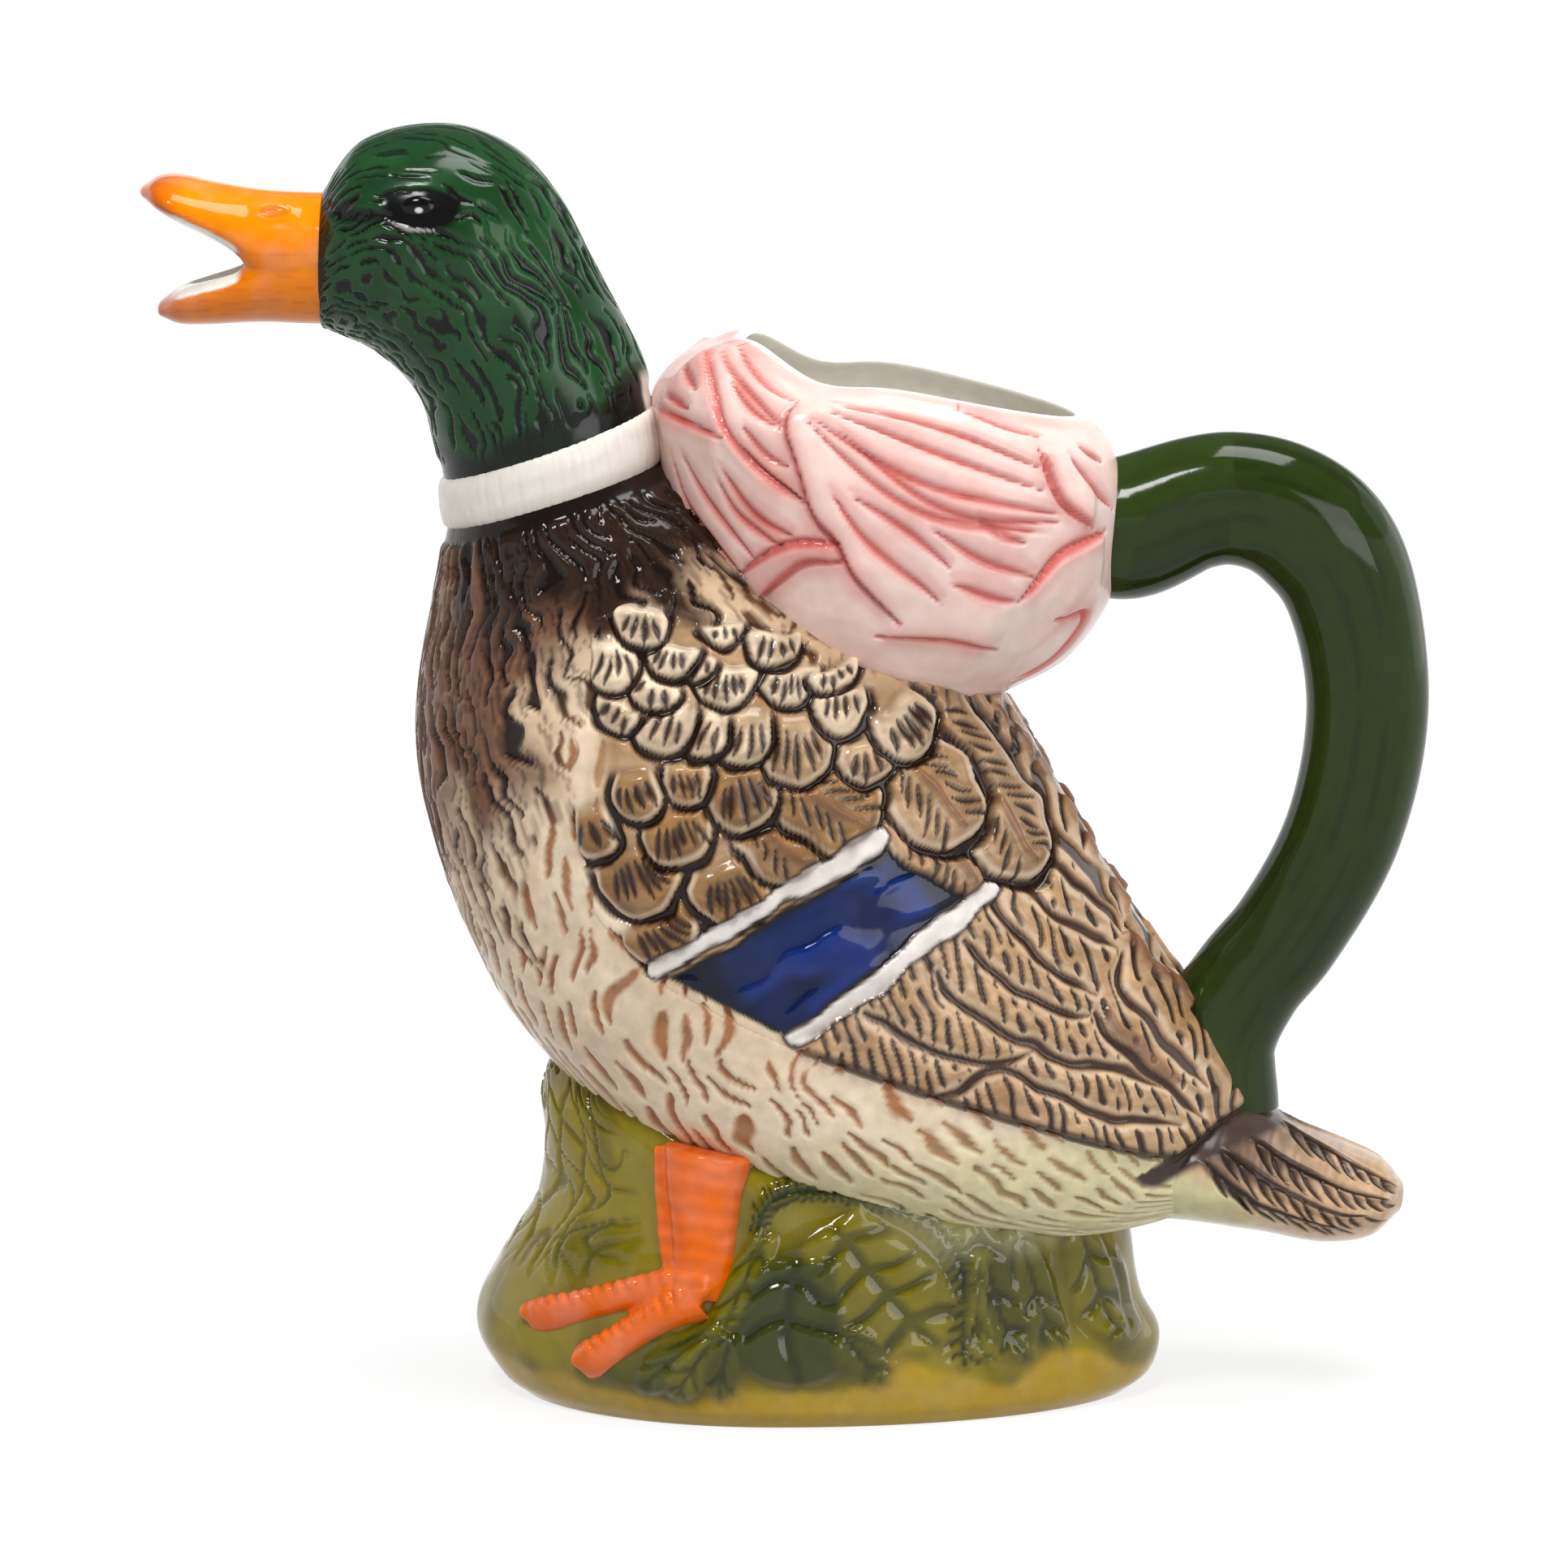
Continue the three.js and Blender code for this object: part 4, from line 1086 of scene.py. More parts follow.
class CREAMER_OT_body(bpy.types.Operator):
    """Models the breast, belly and back, open under the collar"""
    bl_idname = "creamer.body"
    bl_label = "Body"

    def execute(self, context):
        sizes, tones = sizes_and_tones(context)
        round_share = np.arange(BODY_COLUMNS) / BODY_COLUMNS
        angles = np.radians(np.interp(round_share, *zip(*BODY_TURNS)))
        skin = Loft(BODY_ROWS, BODY_HALF_WIDTH, sizes["skin_step"], BODY_COLUMNS, tones["cream"], angles)
        plumage(sizes, tones, skin)
        stain(skin, BODY_POOL, 4)
        depth = np.minimum(polygon_depth(skin.x, skin.z, np.array(WING_EDGE)), np.abs(skin.y) - WING_PARTING)
        skin.settle(0.1, smooth(2.8, 1.4, np.abs(depth)))
        skin.settle(-UNDER_WING, smooth(1.8, 3.2, depth))
        body = tube_piece("body_plumage", skin.surface(), skin.colour)
        carve(body, collar_plug())
        settle_piece(body, glaze_material("plumage_glaze", (0.06, 0.17)), "plumage_glaze", "body_shell")
        return {"FINISHED"}


class CREAMER_OT_wings(bpy.types.Operator):
    """Models the two wings, feather by feather"""
    bl_idname = "creamer.wings"
    bl_label = "Wings"

    def execute(self, context):
        sizes, tones = sizes_and_tones(context)
        angles = np.radians(np.linspace(*WING_TURN, WING_COLUMNS))
        spacing = 1.06 * sizes["fine_step"]
        skin = Loft(BODY_ROWS, BODY_HALF_WIDTH, spacing, None, tones["flight"], angles, WING_SHARES)
        depth = wing_skin(sizes, tones, skin, np.random.default_rng(7))
        left = wing_piece("left_wing_feathers", skin, depth)
        carve(left, collar_plug())
        right = mirrored("right_wing_feathers", left)
        glaze = glaze_material("wing_glaze", (0.05, 0.15), refraction=1.32)
        settle_piece(left, glaze, "wing_glaze", "left_wing")
        settle_piece(right, glaze, "wing_glaze", "right_wing")
        return {"FINISHED"}


# The left eye and the marks round it: its centre in drawn (x, z) and its distance from the middle plane, the
# half sizes of the bead and of the black patch, the raised lower lid with its painted highlight and the dark
# line to the bill
EYE_AT = (-49.2, 165.9)
EYE_DEPTH = 13.2
EYE_SIZE = (2.6, 1.0, 1.9)
EYE_PATCH = (5.4, 3)
EYE_LID_HIGHLIGHT = [(-53.6, 164.6), (-52, 163.8), (-50.2, 163.3), (-46.6, 163.2)]
EYE_CORNER = [(-62.5, 165.6), (-58, 165), (-53.5, 165)]


def head_skin(sizes, tones, skin):
    """Carves and paints the green head, with black streaks running back from the face and down the neck"""
    columns = 44
    v = skin.round_the_piece(columns)
    reach = skin.along[-1, 0]
    face = smooth(reach - 32, reach - 12, skin.along)
    drift = noise(skin.along / 7, v / 2, 71, columns // 2) - 0.5
    wave = noise(skin.along / 2.6, v, 72, columns) - 0.5
    long_cuts = strokes(skin.along / 10, v + 1.8 * drift + 0.9 * wave, 73, columns, 0.34)
    short_cuts = strokes(skin.along / 4.4, v + 1.8 * drift + wave, 77, columns, 0.32)
    carved = mix(long_cuts, short_cuts, face)
    crown = smooth(166, 173, skin.z)
    cloud = noise(skin.along / 5, v / 2, 78, columns // 2)
    # Paler green along the rims of the streaks is a painted highlight, where the carved edges would catch
    # light
    rim = 4 * carved * (1 - carved)
    green = tones["emerald"] * (0.65 + 0.5 * cloud + 0.35 * rim)[..., None]
    skin.colour[:] = blend(green, tones["streak"], smooth(0.3, 0.75, carved) * (1 - 0.3 * crown))
    at_neck = smooth(8.5, 5.5, skin.along + 5 * drift)
    at_bill = smooth(reach - 3, reach - 1.4, skin.along + 2 * wave)
    skin.tint(tones["streak"], 0.9 * np.maximum(at_neck, at_bill))
    skin.lift(0.35 + (0.3 * drift - sizes["head_groove"] * carved) * (1 - 0.85 * crown))
    around_eye = smooth(1.15, 0.85, skin.from_oval(EYE_AT, EYE_PATCH) + 0.25 * wave)
    skin.tint(tones["streak"], around_eye)
    skin.settle(0.1, around_eye)
    groove(skin, skin.x, skin.z, curved(EYE_CORNER), 3.2, 0.3, tones["streak"], 0.9)
    # The lower lid is a raised ridge tinted pale: a painted highlight
    groove(skin, skin.x, skin.z, curved(EYE_LID_HIGHLIGHT), 0.65, -0.25, tones["bar"], 0.5, 0.9)
    skin.settle(0.1, smooth(reach - 2, reach, skin.along))
    skin.settle(-0.2, smooth(7.5, 5, skin.along))
    skin.tint(tones["ivory"], smooth(158, 164, skin.turn) * smooth(143.5, 141, skin.z))


def shape_of(mesh):
    """Points (drawn millimetres) and normals of a mesh"""
    count = len(mesh.vertices)
    places, normals = np.empty(count * 3, np.float32), np.empty(count * 3, np.float32)
    mesh.vertices.foreach_get("co", places)
    mesh.vertices.foreach_get("normal", normals)
    return places.reshape(-1, 3) / MM - (OFFSET_X, 0, 0), normals.reshape(-1, 3).astype(float)


def repaint(piece, skin):
    """Gives a piece the relief and glaze of a skin with one point for each of its own"""
    piece.data.vertices.foreach_set("co", in_frame(skin.surface()).astype(np.float32).ravel())
    piece.data.update()
    lay_glaze(piece.data, skin.colour)
    piece.data.shade_smooth()


def soften(piece, grain, passes):
    """Melts a piece's edges together, as slip and glaze do"""
    remesh = piece.modifiers.new("remesh", "REMESH")
    remesh.mode = "VOXEL"
    remesh.voxel_size = grain * MM
    rounding = piece.modifiers.new("rounding", "SMOOTH")
    rounding.factor = 0.5
    rounding.iterations = passes
    bake_modifier(piece)


class CREAMER_OT_head(bpy.types.Operator):
    """Models the head with its streaks and eye sockets, bored for pouring"""
    bl_idname = "creamer.head"
    bl_label = "Head"

    def execute(self, context):
        sizes, tones = sizes_and_tones(context)
        skin = Loft(HEAD_ROWS, HEAD_HALF_WIDTH, 0.85 * sizes["fine_step"], HEAD_COLUMNS, tones["emerald"])
        head_skin(sizes, tones, skin)
        head = tube_piece("head_feathers", skin.surface(), skin.colour)
        carve(head, plain_loft("spout_bore", SPOUT_ROWS, HEAD_HALF_WIDTH))
        settle_piece(head, glaze_material("head_glaze", (0.12, 0.2), 0.1, 0.03), "head_glaze", "head_shell")
        return {"FINISHED"}


class CREAMER_OT_neck_band(bpy.types.Operator):
    """Models the ivory band round the neck"""
    bl_idname = "creamer.neck_band"
    bl_label = "Neck band"

    def execute(self, context):
        _, tones = sizes_and_tones(context)
        cells = 70
        skin = Loft(BAND_ROWS, NECK_HALF_WIDTH, 0.3, BAND_COLUMNS, tones["ivory"])
        ribs = strokes(skin.along / 9, skin.round_the_piece(cells), 81, cells, 0.3, slant=0.4)
        skin.lift(0.15 - 0.06 * ribs)
        skin.tint(0.8 * tones["ivory"], 0.15 * ribs)
        band = tube_piece("neck_ring", skin.surface(), skin.colour)
        settle_piece(band, glaze_material("band_glaze", speck=0.04), "band_glaze", "neck_band")
        return {"FINISHED"}


# How far each half of the bill rounds out past its last row
BILL_TIP_DEPTH = 0.7
# The nostril on each side of the bill in drawn (x, z), its half sizes, and the nub that it lies on
NOSTRIL = (-69.3, 164.8)
NOSTRIL_SIZE = (2.3, 0.75)
NUB = (-69.3, 165.4)
NUB_SIZE = (3.6, 1.9)
# The corner of the mouth, the height where the upper bill begins, and the middle of the pouring channel
MOUTH_CORNER_X = -73.5
BITE_Z = 159.5
CHANNEL_Z = 157.9


class CREAMER_OT_bill(bpy.types.Operator):
    """Models the open bill as one form, with the pouring channel through it"""
    bl_idname = "creamer.bill"
    bl_label = "Bill"

    def execute(self, context):
        _, tones = sizes_and_tones(context)
        bill = domed_loft("bill_horn", UPPER_BILL_ROWS, BILL_HALF_WIDTH, BILL_TIP_DEPTH)
        weld(bill, domed_loft("lower_bill", LOWER_BILL_ROWS, BILL_HALF_WIDTH, BILL_TIP_DEPTH))
        carve(bill, plain_loft("bill_bore", SPOUT_ROWS, HEAD_HALF_WIDTH))
        soften(bill, grain=0.38, passes=7)
        skin = Skin(*shape_of(bill.data), tones["orange"])
        upper = skin.z > BITE_Z
        face = smooth(-70, -63, skin.x)
        # Paler orange where the upper bill faces up: painted light from above
        light = smooth(0.1, 0.9, skin.normals[:, 2]) * upper
        tip = smooth(-80, -86.5, skin.x)
        edge = np.where(upper, smooth(0.1, -0.7, skin.normals[:, 2]), 0.35) * (1 - face)
        skin.tint(1.25 * tones["orange"], 0.7 * light * (1 - tip))
        skin.tint(tones["burnt"], np.clip(0.75 * tip + 0.6 * edge, 0, 0.9))
        flecks = strokes(skin.x / 3, skin.z / 1.6, 91, None, 0.2)
        skin.tint(tones["burnt"], 0.3 * flecks * smooth(164, 156, skin.z))
        ahead_of_corner = smooth(MOUTH_CORNER_X, MOUTH_CORNER_X - 1.2, skin.x)
        inward = np.where(upper, -skin.normals[:, 2], skin.normals[:, 2])
        inner_side = ahead_of_corner * smooth(0.45, 0.75, inward) * smooth(-84.4, -82, skin.x)
        bore = smooth(6.2, 5.2, np.abs(skin.y)) * smooth(4.0, 3.4, np.abs(skin.z - CHANNEL_Z))
        skin.tint(tones["lining"], np.maximum(inner_side, bore * (skin.x < MOUTH_CORNER_X + 2)))
        from_slot = skin.from_oval(NOSTRIL, NOSTRIL_SIZE)
        from_nub = skin.from_oval(NUB, NUB_SIZE)
        on_side = np.abs(skin.y) > 3
        skin.lift(0.45 * smooth(1.1, 0.4, from_nub) * on_side)
        skin.lift(-0.5 * smooth(1.1, 0.5, from_slot) * on_side)
        skin.tint(tones["burnt"], 0.5 * smooth(1.1, 0.6, from_slot) * on_side)
        repaint(bill, skin)
        settle_piece(bill, glaze_material("bill_glaze", (0.06, 0.15), 0.06, 0.03), "bill_glaze", "bill")
        return {"FINISHED"}


class CREAMER_OT_eyes(bpy.types.Operator):
    """Models the two black eyes, each with a painted white highlight"""
    bl_idname = "creamer.eyes"
    bl_label = "Eyes"

    def execute(self, context):
        _, tones = sizes_and_tones(context)
        rows, columns = 24, 48
        angles = np.arange(1, rows) * math.pi / rows
        tilt, turn = np.meshgrid(angles, np.arange(columns) * 2 * math.pi / columns, indexing="ij")
        globe = np.stack([np.sin(tilt) * np.cos(turn), -np.cos(tilt), np.sin(tilt) * np.sin(turn)], -1)
        points = (EYE_AT[0], -EYE_DEPTH, EYE_AT[1]) + globe * EYE_SIZE
        # A white dot on the front of each bead: a painted highlight
        painted_highlight = smooth(0.2, 0.12, np.hypot(globe[..., 0], globe[..., 2])) * (globe[..., 1] < 0)
        colours = blend(tones["streak"] * 0.7, tones["bar"], painted_highlight)
        poles = [(EYE_AT[0], -EYE_DEPTH - EYE_SIZE[1] * side, EYE_AT[1]) for side in (1, -1)]
        left = tube_piece("left_eye_bead", points, colours, *poles)
        right = mirrored("right_eye_bead", left)
        glaze = glaze_material("eye_glaze", (0.08, 0.14), 0.03, 0.01)
        settle_piece(left, glaze, "eye_glaze", "left_eye")
        settle_piece(right, glaze, "eye_glaze", "right_eye")
        return {"FINISHED"}


# The collar's petals are drawn in degrees round from the front and percent of the way up, each so many mm
DEGREE_ON_COLLAR = 0.5
PERCENT_ON_COLLAR = 0.429
# Petal edges: the path, how far the petal stands over the next, and on which side of the path (1 is left)
PETAL_EDGES = [
    ([(61, 87), (63, 76), (66, 67), (70, 52), (76, 47), (80, 41), (95, 31)], 1.0, 1),
    ([(16, 93), (40, 77), (48, 67), (55, 60), (68, 54)], 0.7, -1),
    ([(14, 68), (32, 67), (46, 66)], 0.4, -1),
    ([(46, 33), (63, 44), (77, 47)], 0.9, -1),
    ([(51, 27), (60, 35), (68, 41), (78, 43)], -0.5, -1),
    ([(129, 84), (135, 66), (149, 59)], 0.9, 1),
    ([(125, 41), (135, 52), (155, 58)], 0.8, -1),
    ([(89, 26), (109, 29), (126, 29)], 0.5, 1),
    ([(140, 38), (155, 39), (155, 31), (149, 19)], 0.4, 1),
]
# Sunk veins of the petals
PETAL_VEINS = [
    [(69, 89), (102, 85), (132, 75)], [(71, 84), (103, 75), (131, 68)], [(68, 80), (95, 66), (136, 62)],
    [(76, 77), (102, 59), (135, 60)], [(68, 78), (94, 58), (132, 57)], [(80, 58), (94, 52), (105, 46)],
    [(75, 58), (83, 49), (104, 38)], [(111, 58), (117, 55), (124, 54)], [(99, 54), (112, 49), (128, 47)],
    [(105, 43), (117, 41), (125, 41)], [(104, 100), (114, 96), (132, 90)], [(22, 55), (26, 47), (46, 33)],
    [(28, 57), (35, 50), (52, 38)], [(42, 54), (47, 48), (61, 43)], [(44, 57), (53, 49), (65, 46)],
    [(15, 45), (27, 34), (37, 23)], [(23, 94), (50, 82), (63, 74)], [(25, 100), (48, 91), (61, 86)],
    [(39, 85), (53, 77), (63, 73)], [(52, 71), (59, 64), (65, 62)], [(51, 65), (59, 58), (68, 54)],
    [(17, 73), (26, 72), (33, 71)], [(18, 82), (27, 79), (33, 77)], [(140, 82), (150, 70), (159, 64)],
    [(146, 88), (150, 84), (157, 80)],
]


def petal_skin(sizes, tones, skin):
    """Folds the collar into overlapping petals, veined with rose"""
    u = skin.spread(skin.turn * DEGREE_ON_COLLAR)
    v = skin.spread(skin.share * 100 * PERCENT_ON_COLLAR)
    cloud = noise(u / 5, v / 5, 101)
    brush = noise(u / 9 + v / 30, v / 1.3, 102)
    blush = np.clip(0.1 + 0.35 * cloud * brush + 0.25 * smooth(20, 5, u), 0, 1)
    skin.tint(tones["rose"], 0.55 * blush)
    pale = smooth(0.45, 0.8, noise(u / 7, v / 7, 103)) * smooth(30, 50, u)
    skin.tint(tones["bar"], 0.35 * pale)
    scale = (DEGREE_ON_COLLAR, PERCENT_ON_COLLAR)
    for points, height, raised_side in PETAL_EDGES:
        path = curved(np.array(points) * scale)
        gap, share, side = line_distance(u, v, path)
        ends = smooth(0, 0.12, share) * smooth(1, 0.88, share)
        skin.lift(height * ends * (side == raised_side) * smooth(7, 0.2, gap))
        skin.tint(tones["rose"], 0.4 * ends * smooth(2.6, 0.3, gap))
        groove(skin, u, v, path, 1.5, 0.6 * sizes["crease_depth"], tones["rose"], 0.95, 0.7)
    for points in PETAL_VEINS:
        path = curved(np.array(points) * scale)
        groove(skin, u, v, path + (0, 0.9), 4.6, 0, tones["rose"], 0.28, 0.8)
        groove(skin, u, v, path, 2.6, 0.35 * sizes["vein_depth"], tones["rose"], 0.35, 0.9)
        groove(skin, u, v, path, 1.15, sizes["vein_depth"], tones["rose"], 0.9, 0.95)
    skin.lift(0.35 * (cloud - 0.5))
    skin.settle(0, skin.spread(smooth(0.93, 0.99, skin.share)))
    skin.tint(tones["rose"], 0.35 * smooth(0.96, 1, skin.share) * brush)


# Waves of the collar's rim: height in mm, and degrees round from the front; each spreads over these degrees
RIM_WAVES = [(-1.8, 58), (1.0, 22)]
RIM_SPREAD = 18


def rim_wave(skin):
    """How far the collar's rim dips and rises round the mouth, in mm, fading out below it"""
    rise = sum(height * np.exp(-((skin.turn - turn) / RIM_SPREAD) ** 2) for height, turn in RIM_WAVES)
    return rise * smooth(0.68, 1, skin.share)


def lip(outer, inner, steps=7):
    """Rings that roll from the last ring of an outer wall over to the last ring of an inner one"""
    middle, half = (outer[-1] + inner[-1]) / 2, (outer[-1] - inner[-1]) / 2
    rise = outer[-1] - outer[-2]
    rise = rise / np.linalg.norm(rise, axis=1, keepdims=True) * np.linalg.norm(half, axis=1, keepdims=True)
    turns = np.linspace(0, math.pi, steps + 2)[1:-1]
    return np.stack([middle + half * math.cos(q) + rise * math.sin(q) for q in turns])


class CREAMER_OT_collar(bpy.types.Operator):
    """Models the collar of petals that the jug is filled through, with the cream-lined hollow below it"""
    bl_idname = "creamer.collar"
    bl_label = "Petal collar"

    def execute(self, context):
        sizes, tones = sizes_and_tones(context)

        def wall(rows, spacing, colour):
            return Loft(rows, COLLAR_HALF_WIDTH, spacing, COLLAR_COLUMNS, colour)

        petals = wall(COLLAR_ROWS, 1.15 * sizes["fine_step"], tones["petal"])
        petal_skin(sizes, tones, petals)
        outer = petals.surface()
        outer[..., 2] += rim_wave(petals)
        inside = wall(inset(COLLAR_ROWS, COLLAR_HALF_WIDTH, COLLAR_WALL), 1.2, tones["lining"])
        inside.points[..., 2] += rim_wave(inside)
        pocket_wall = wall(inset(POCKET_ROWS, COLLAR_HALF_WIDTH, -POCKET_WALL), 4, tones["lining"])
        pocket_seat = pocket_wall.points[-1].mean(0) - (0, 0, POCKET_WALL)
        pocket = wall(POCKET_ROWS, 4, tones["lining"])
        rim = lip(outer, inside.points)
        rim_share = np.linspace(0, 1, len(rim))[:, None, None]
        rim_tones = mix(petals.colour[-1][None], tones["lining"], smooth(0.1, 0.4, rim_share))
        grid = [pocket_wall.points[::-1], outer, rim, inside.points[::-1], pocket.points]
        colours = [pocket_wall.colour[::-1], petals.colour, rim_tones, inside.colour[::-1], pocket.colour]
        collar = tube_piece("collar_petals", np.concatenate(grid), np.concatenate(colours), first=pocket_seat)
        settle_piece(collar, glaze_material("petal_glaze", (0.1, 0.22), 0.05), "petal_glaze", "petal_collar")
        return {"FINISHED"}


# Quills of the tail feathers: drawn x, and degrees round from underneath, each so many mm
DEGREE_ON_TAIL = 0.2
TAIL_QUILLS = [
    [(57, 110), (62, 96), (70, 88), (76, 86)],
    [(58.6, 121), (63, 114), (69.3, 107), (75.3, 101), (80, 99)],
    [(63.2, 138), (69.5, 130), (75.5, 125), (80, 121), (83.2, 117)],
    [(68.5, 170), (74.3, 160), (80.4, 148), (84.5, 138)],
]


def tail_skin(sizes, tones, skin, rng):
    """Carves the tail feathers: long dark quills, bold barbs hanging from them and a dark root"""
    u = skin.x
    v = skin.spread((180 - skin.turn) * DEGREE_ON_TAIL)
    hatch = noise(u / 0.5 + v / 2, v / 3, 111) - 0.5
    skin.colour[:] = skin.colour * (1 + 0.35 * hatch[..., None])
    under = skin.spread(smooth(88, 66, skin.turn))
    skin.tint(mix(tones["cream"], tones["rose"], 0.2), 0.6 * under)
    skin.tint(tones["mossy"], smooth(72, 56, u) * smooth(106, 84, skin.turn))
    skin.tint(tones["root"], 0.8 * smooth(78, 60, u + 6 * hatch) * smooth(96, 116, skin.turn))
    for points in TAIL_QUILLS:
        quill = curved([(x, (180 - turn) * DEGREE_ON_TAIL) for x, turn in points])
        groove(skin, u, v, quill, 4.2, -0.5, tones["quill"], 0.3, 0.6)
        groove(skin, u, v, quill[:len(quill) // 2], 4, 0, tones["breast_dark"], 0.7, 0.7)
        groove(skin, u, v, quill, 1.5, 0.35, tones["breast_dark"], 0.95, 0.6)
        reach = travelled(quill)
        for place in np.arange(1.2, reach[-1], 2.3):
            at = place + rng.uniform(-0.4, 0.4)
            foot = np.array([np.interp(at, reach, quill[:, k]) for k in (0, 1)])
            start = foot + (0.3, 0.5)
            end = start + np.array((rng.uniform(0.4, 0.75), 0.8)) * rng.uniform(3.4, 4.6)
            barb = rng.uniform(1.2, 1.6)
            groove(skin, u, v, [start, end], barb, sizes["barb_depth"], tones["breast_dark"], 0.95)
    paint_root(tones, skin, 0.2, skin.turn > 92)
    skin.settle(0, skin.spread(smooth(0.92, 0.99, skin.share)))


class CREAMER_OT_tail(bpy.types.Operator):
    """Models the flat tail with its quills and barbs"""
    bl_idname = "creamer.tail"
    bl_label = "Tail"

    def execute(self, context):
        sizes, tones = sizes_and_tones(context)
        skin = Loft(TAIL_ROWS, TAIL_HALF_WIDTH, sizes["fine_step"], TAIL_COLUMNS, tones["flight"])
        tail_skin(sizes, tones, skin, np.random.default_rng(9))
        tail = tube_piece("tail_feathers", *domed(skin.surface(), skin.colour, 0.4))
        settle_piece(tail, glaze_material("tail_glaze"), "tail_glaze", "tail")
        return {"FINISHED"}


# What grows on the mound is drawn in degrees round from the front, each so many mm, and height in mm
DEGREE_ON_MOUND = 0.667
# Where the yellow rim gives way to green
GLAZE_LINE = [
    (0, 6.1), (36, 6), (53, 5.4), (74, 4), (85, 5.5), (101, 4.9), (106, 7.9), (110, 11.3), (115, 6.8),
    (128, 5.2), (137, 9.6), (145, 8.1), (161, 4.7), (180, 4.7),
]
# Clumps of leaves that swell out of the flank
CLUMPS = [
    [(124, 24.9), (131, 27), (141, 22), (140, 13.6), (133, 10.5), (128, 16)],
    [(142, 25), (150, 26), (166, 18), (166, 9.8), (154, 6.5), (146, 8.7), (144, 14)],
    [(50, 7.4), (58, 12.5), (70, 14), (80, 9.5), (77, 5), (62, 4.4)],
    [(84, 23), (94, 28.4), (104, 28.6), (111, 27), (117, 23.3), (118, 18.6), (117, 14.1), (109, 11.3),
     (101, 6.5), (90, 7), (80, 8.5), (74, 11), (80, 17)],
]
# Leaves on the clumps: start, tip, width in mm, bluntness of the tip, ribs, and how dark the glaze lies
LEAVES = [
    ((86, 27), (83, 14), 6, 1.6, 3, 0.5),
    ((98, 28), (117, 11), 13, 1.3, 4.5, 0.3),
    ((93, 23.5), (95, 6.3), 12, 1.2, 2.5, 0.95),
    ((82, 14.5), (64, 5.2), 4.6, 2.2, 2.5, 0.8),
    ((83, 14), (71, 4.2), 4.8, 2.2, 2.5, 0.5),
    ((85, 13.5), (80, 4), 5, 2, 2.5, 0.85),
    ((102, 14), (107, 6.2), 6, 1.5, 2, 0.8),
    ((123, 28), (131, 7.8), 6.4, 1.8, 3.5, 0.85),
    ((131, 27), (139, 9), 7, 1.6, 3, 0.75),
    ((124, 24), (124, 7.5), 3.6, 2.4, 3, 0.5),
    ((147, 26), (154, 8.8), 10, 1.3, 3, 0.45),
]
# The barbed blade that arches over them
ARCHED_BLADE = [
    (83, 25), (86, 30), (92, 32.4), (100, 32.6), (108, 31), (115, 28), (120, 23), (122, 16), (120, 8.5),
]


def mound_skin(sizes, tones, skin):
    """Raises grass and leaves on the mound; the glaze is yellow where it runs thin and dark where it pools"""
    scale = (DEGREE_ON_MOUND, 1)
    u = skin.spread(skin.turn * DEGREE_ON_MOUND)
    v = skin.z
    cloud = noise(u / 6, v / 6, 121)
    line = np.interp(skin.turn, *np.transpose(GLAZE_LINE))
    green = smooth(-1, 1, v - line + 2 * (cloud - 0.5))
    pooled = 0.45 * smooth(0.4, 0.8, cloud)
    grown = blend(tones["grass"], tones["leaf"], pooled)
    skin.colour[:] = blend(skin.colour, grown, 0.9 * green)
    for outline in CLUMPS:
        clump = smooth(-0.4, 2.4, polygon_depth(u, v, curved(np.array([*outline, outline[0]]) * scale)))
        skin.lift(0.6 * sizes["leaf_lift"] * clump)
        skin.tint(tones["leaf"], 0.6 * clump)
    path = curved(np.array(ARCHED_BLADE) * scale)
    groove(skin, u, v, path, 5.2, -0.9, tones["leaf"], 0.7, 0.7)
    groove(skin, u, v, path, 1.1, 0.45, 0.6 * tones["leaf"], 0.9, 0.6)
    for foot, following in zip(path[2:-2:2], path[3:-1:2]):
        _, ahead, side = heading(foot, following)
        for barb in (ahead - side, ahead + side):
            groove(skin, u, v, [foot, foot + 1.7 * barb], 0.8, 0.35, 0.6 * tones["leaf"], 0.8, 0.6)
    for start, tip, width, blunt, ribs, dark in LEAVES:
        ends = np.array((start, tip)) * scale
        near, along, across, edge = leaf_frame(u, v, *ends, width, blunt)
        inside = smooth(-0.4, 0.8, edge)
        ribbed = np.cos(2 * math.pi * (ribs * along - 0.7 * np.abs(across) + 1.2 * cloud[near]))
        midrib = smooth(0.16, 0.04, np.abs(across))
        veins = np.maximum(midrib, smooth(0.35, 0.95, ribbed) * smooth(1, 0.7, np.abs(across)))
        dome = np.sqrt(np.clip(1 - across**2, 0, 1))
        skin.lift(inside * (sizes["leaf_lift"] * (0.35 + 0.7 * dome) - sizes["vein_depth"] * veins), near)
        skin.tint(mix(tones["grass"], tones["leaf"], dark), 0.85 * inside, near)
        skin.tint(0.7 * tones["leaf"], 0.5 * veins * inside, near)
    net = np.maximum(np.cos(2 * math.pi * (0.1 * u + 0.13 * v + 2.2 * cloud)),
                     np.cos(2 * math.pi * (0.12 * u - 0.1 * v + 1.8 * cloud)))
    creases = smooth(0.78, 0.98, net) * smooth(58, 46, skin.turn) * smooth(17, 23, v)
    skin.lift(-0.4 * creases)
    skin.tint(tones["leaf"], 0.3 * creases)
    skin.lift(0.5 * (cloud - 0.5) * smooth(0.5, 4, v))
    stain(skin, MOUND_POOL, 5)
    thin = smooth(21, 30, v + 4 * (cloud - 0.5)) * smooth(100, 130, skin.turn)
    skin.tint(tones["mossy"], 0.7 * thin)


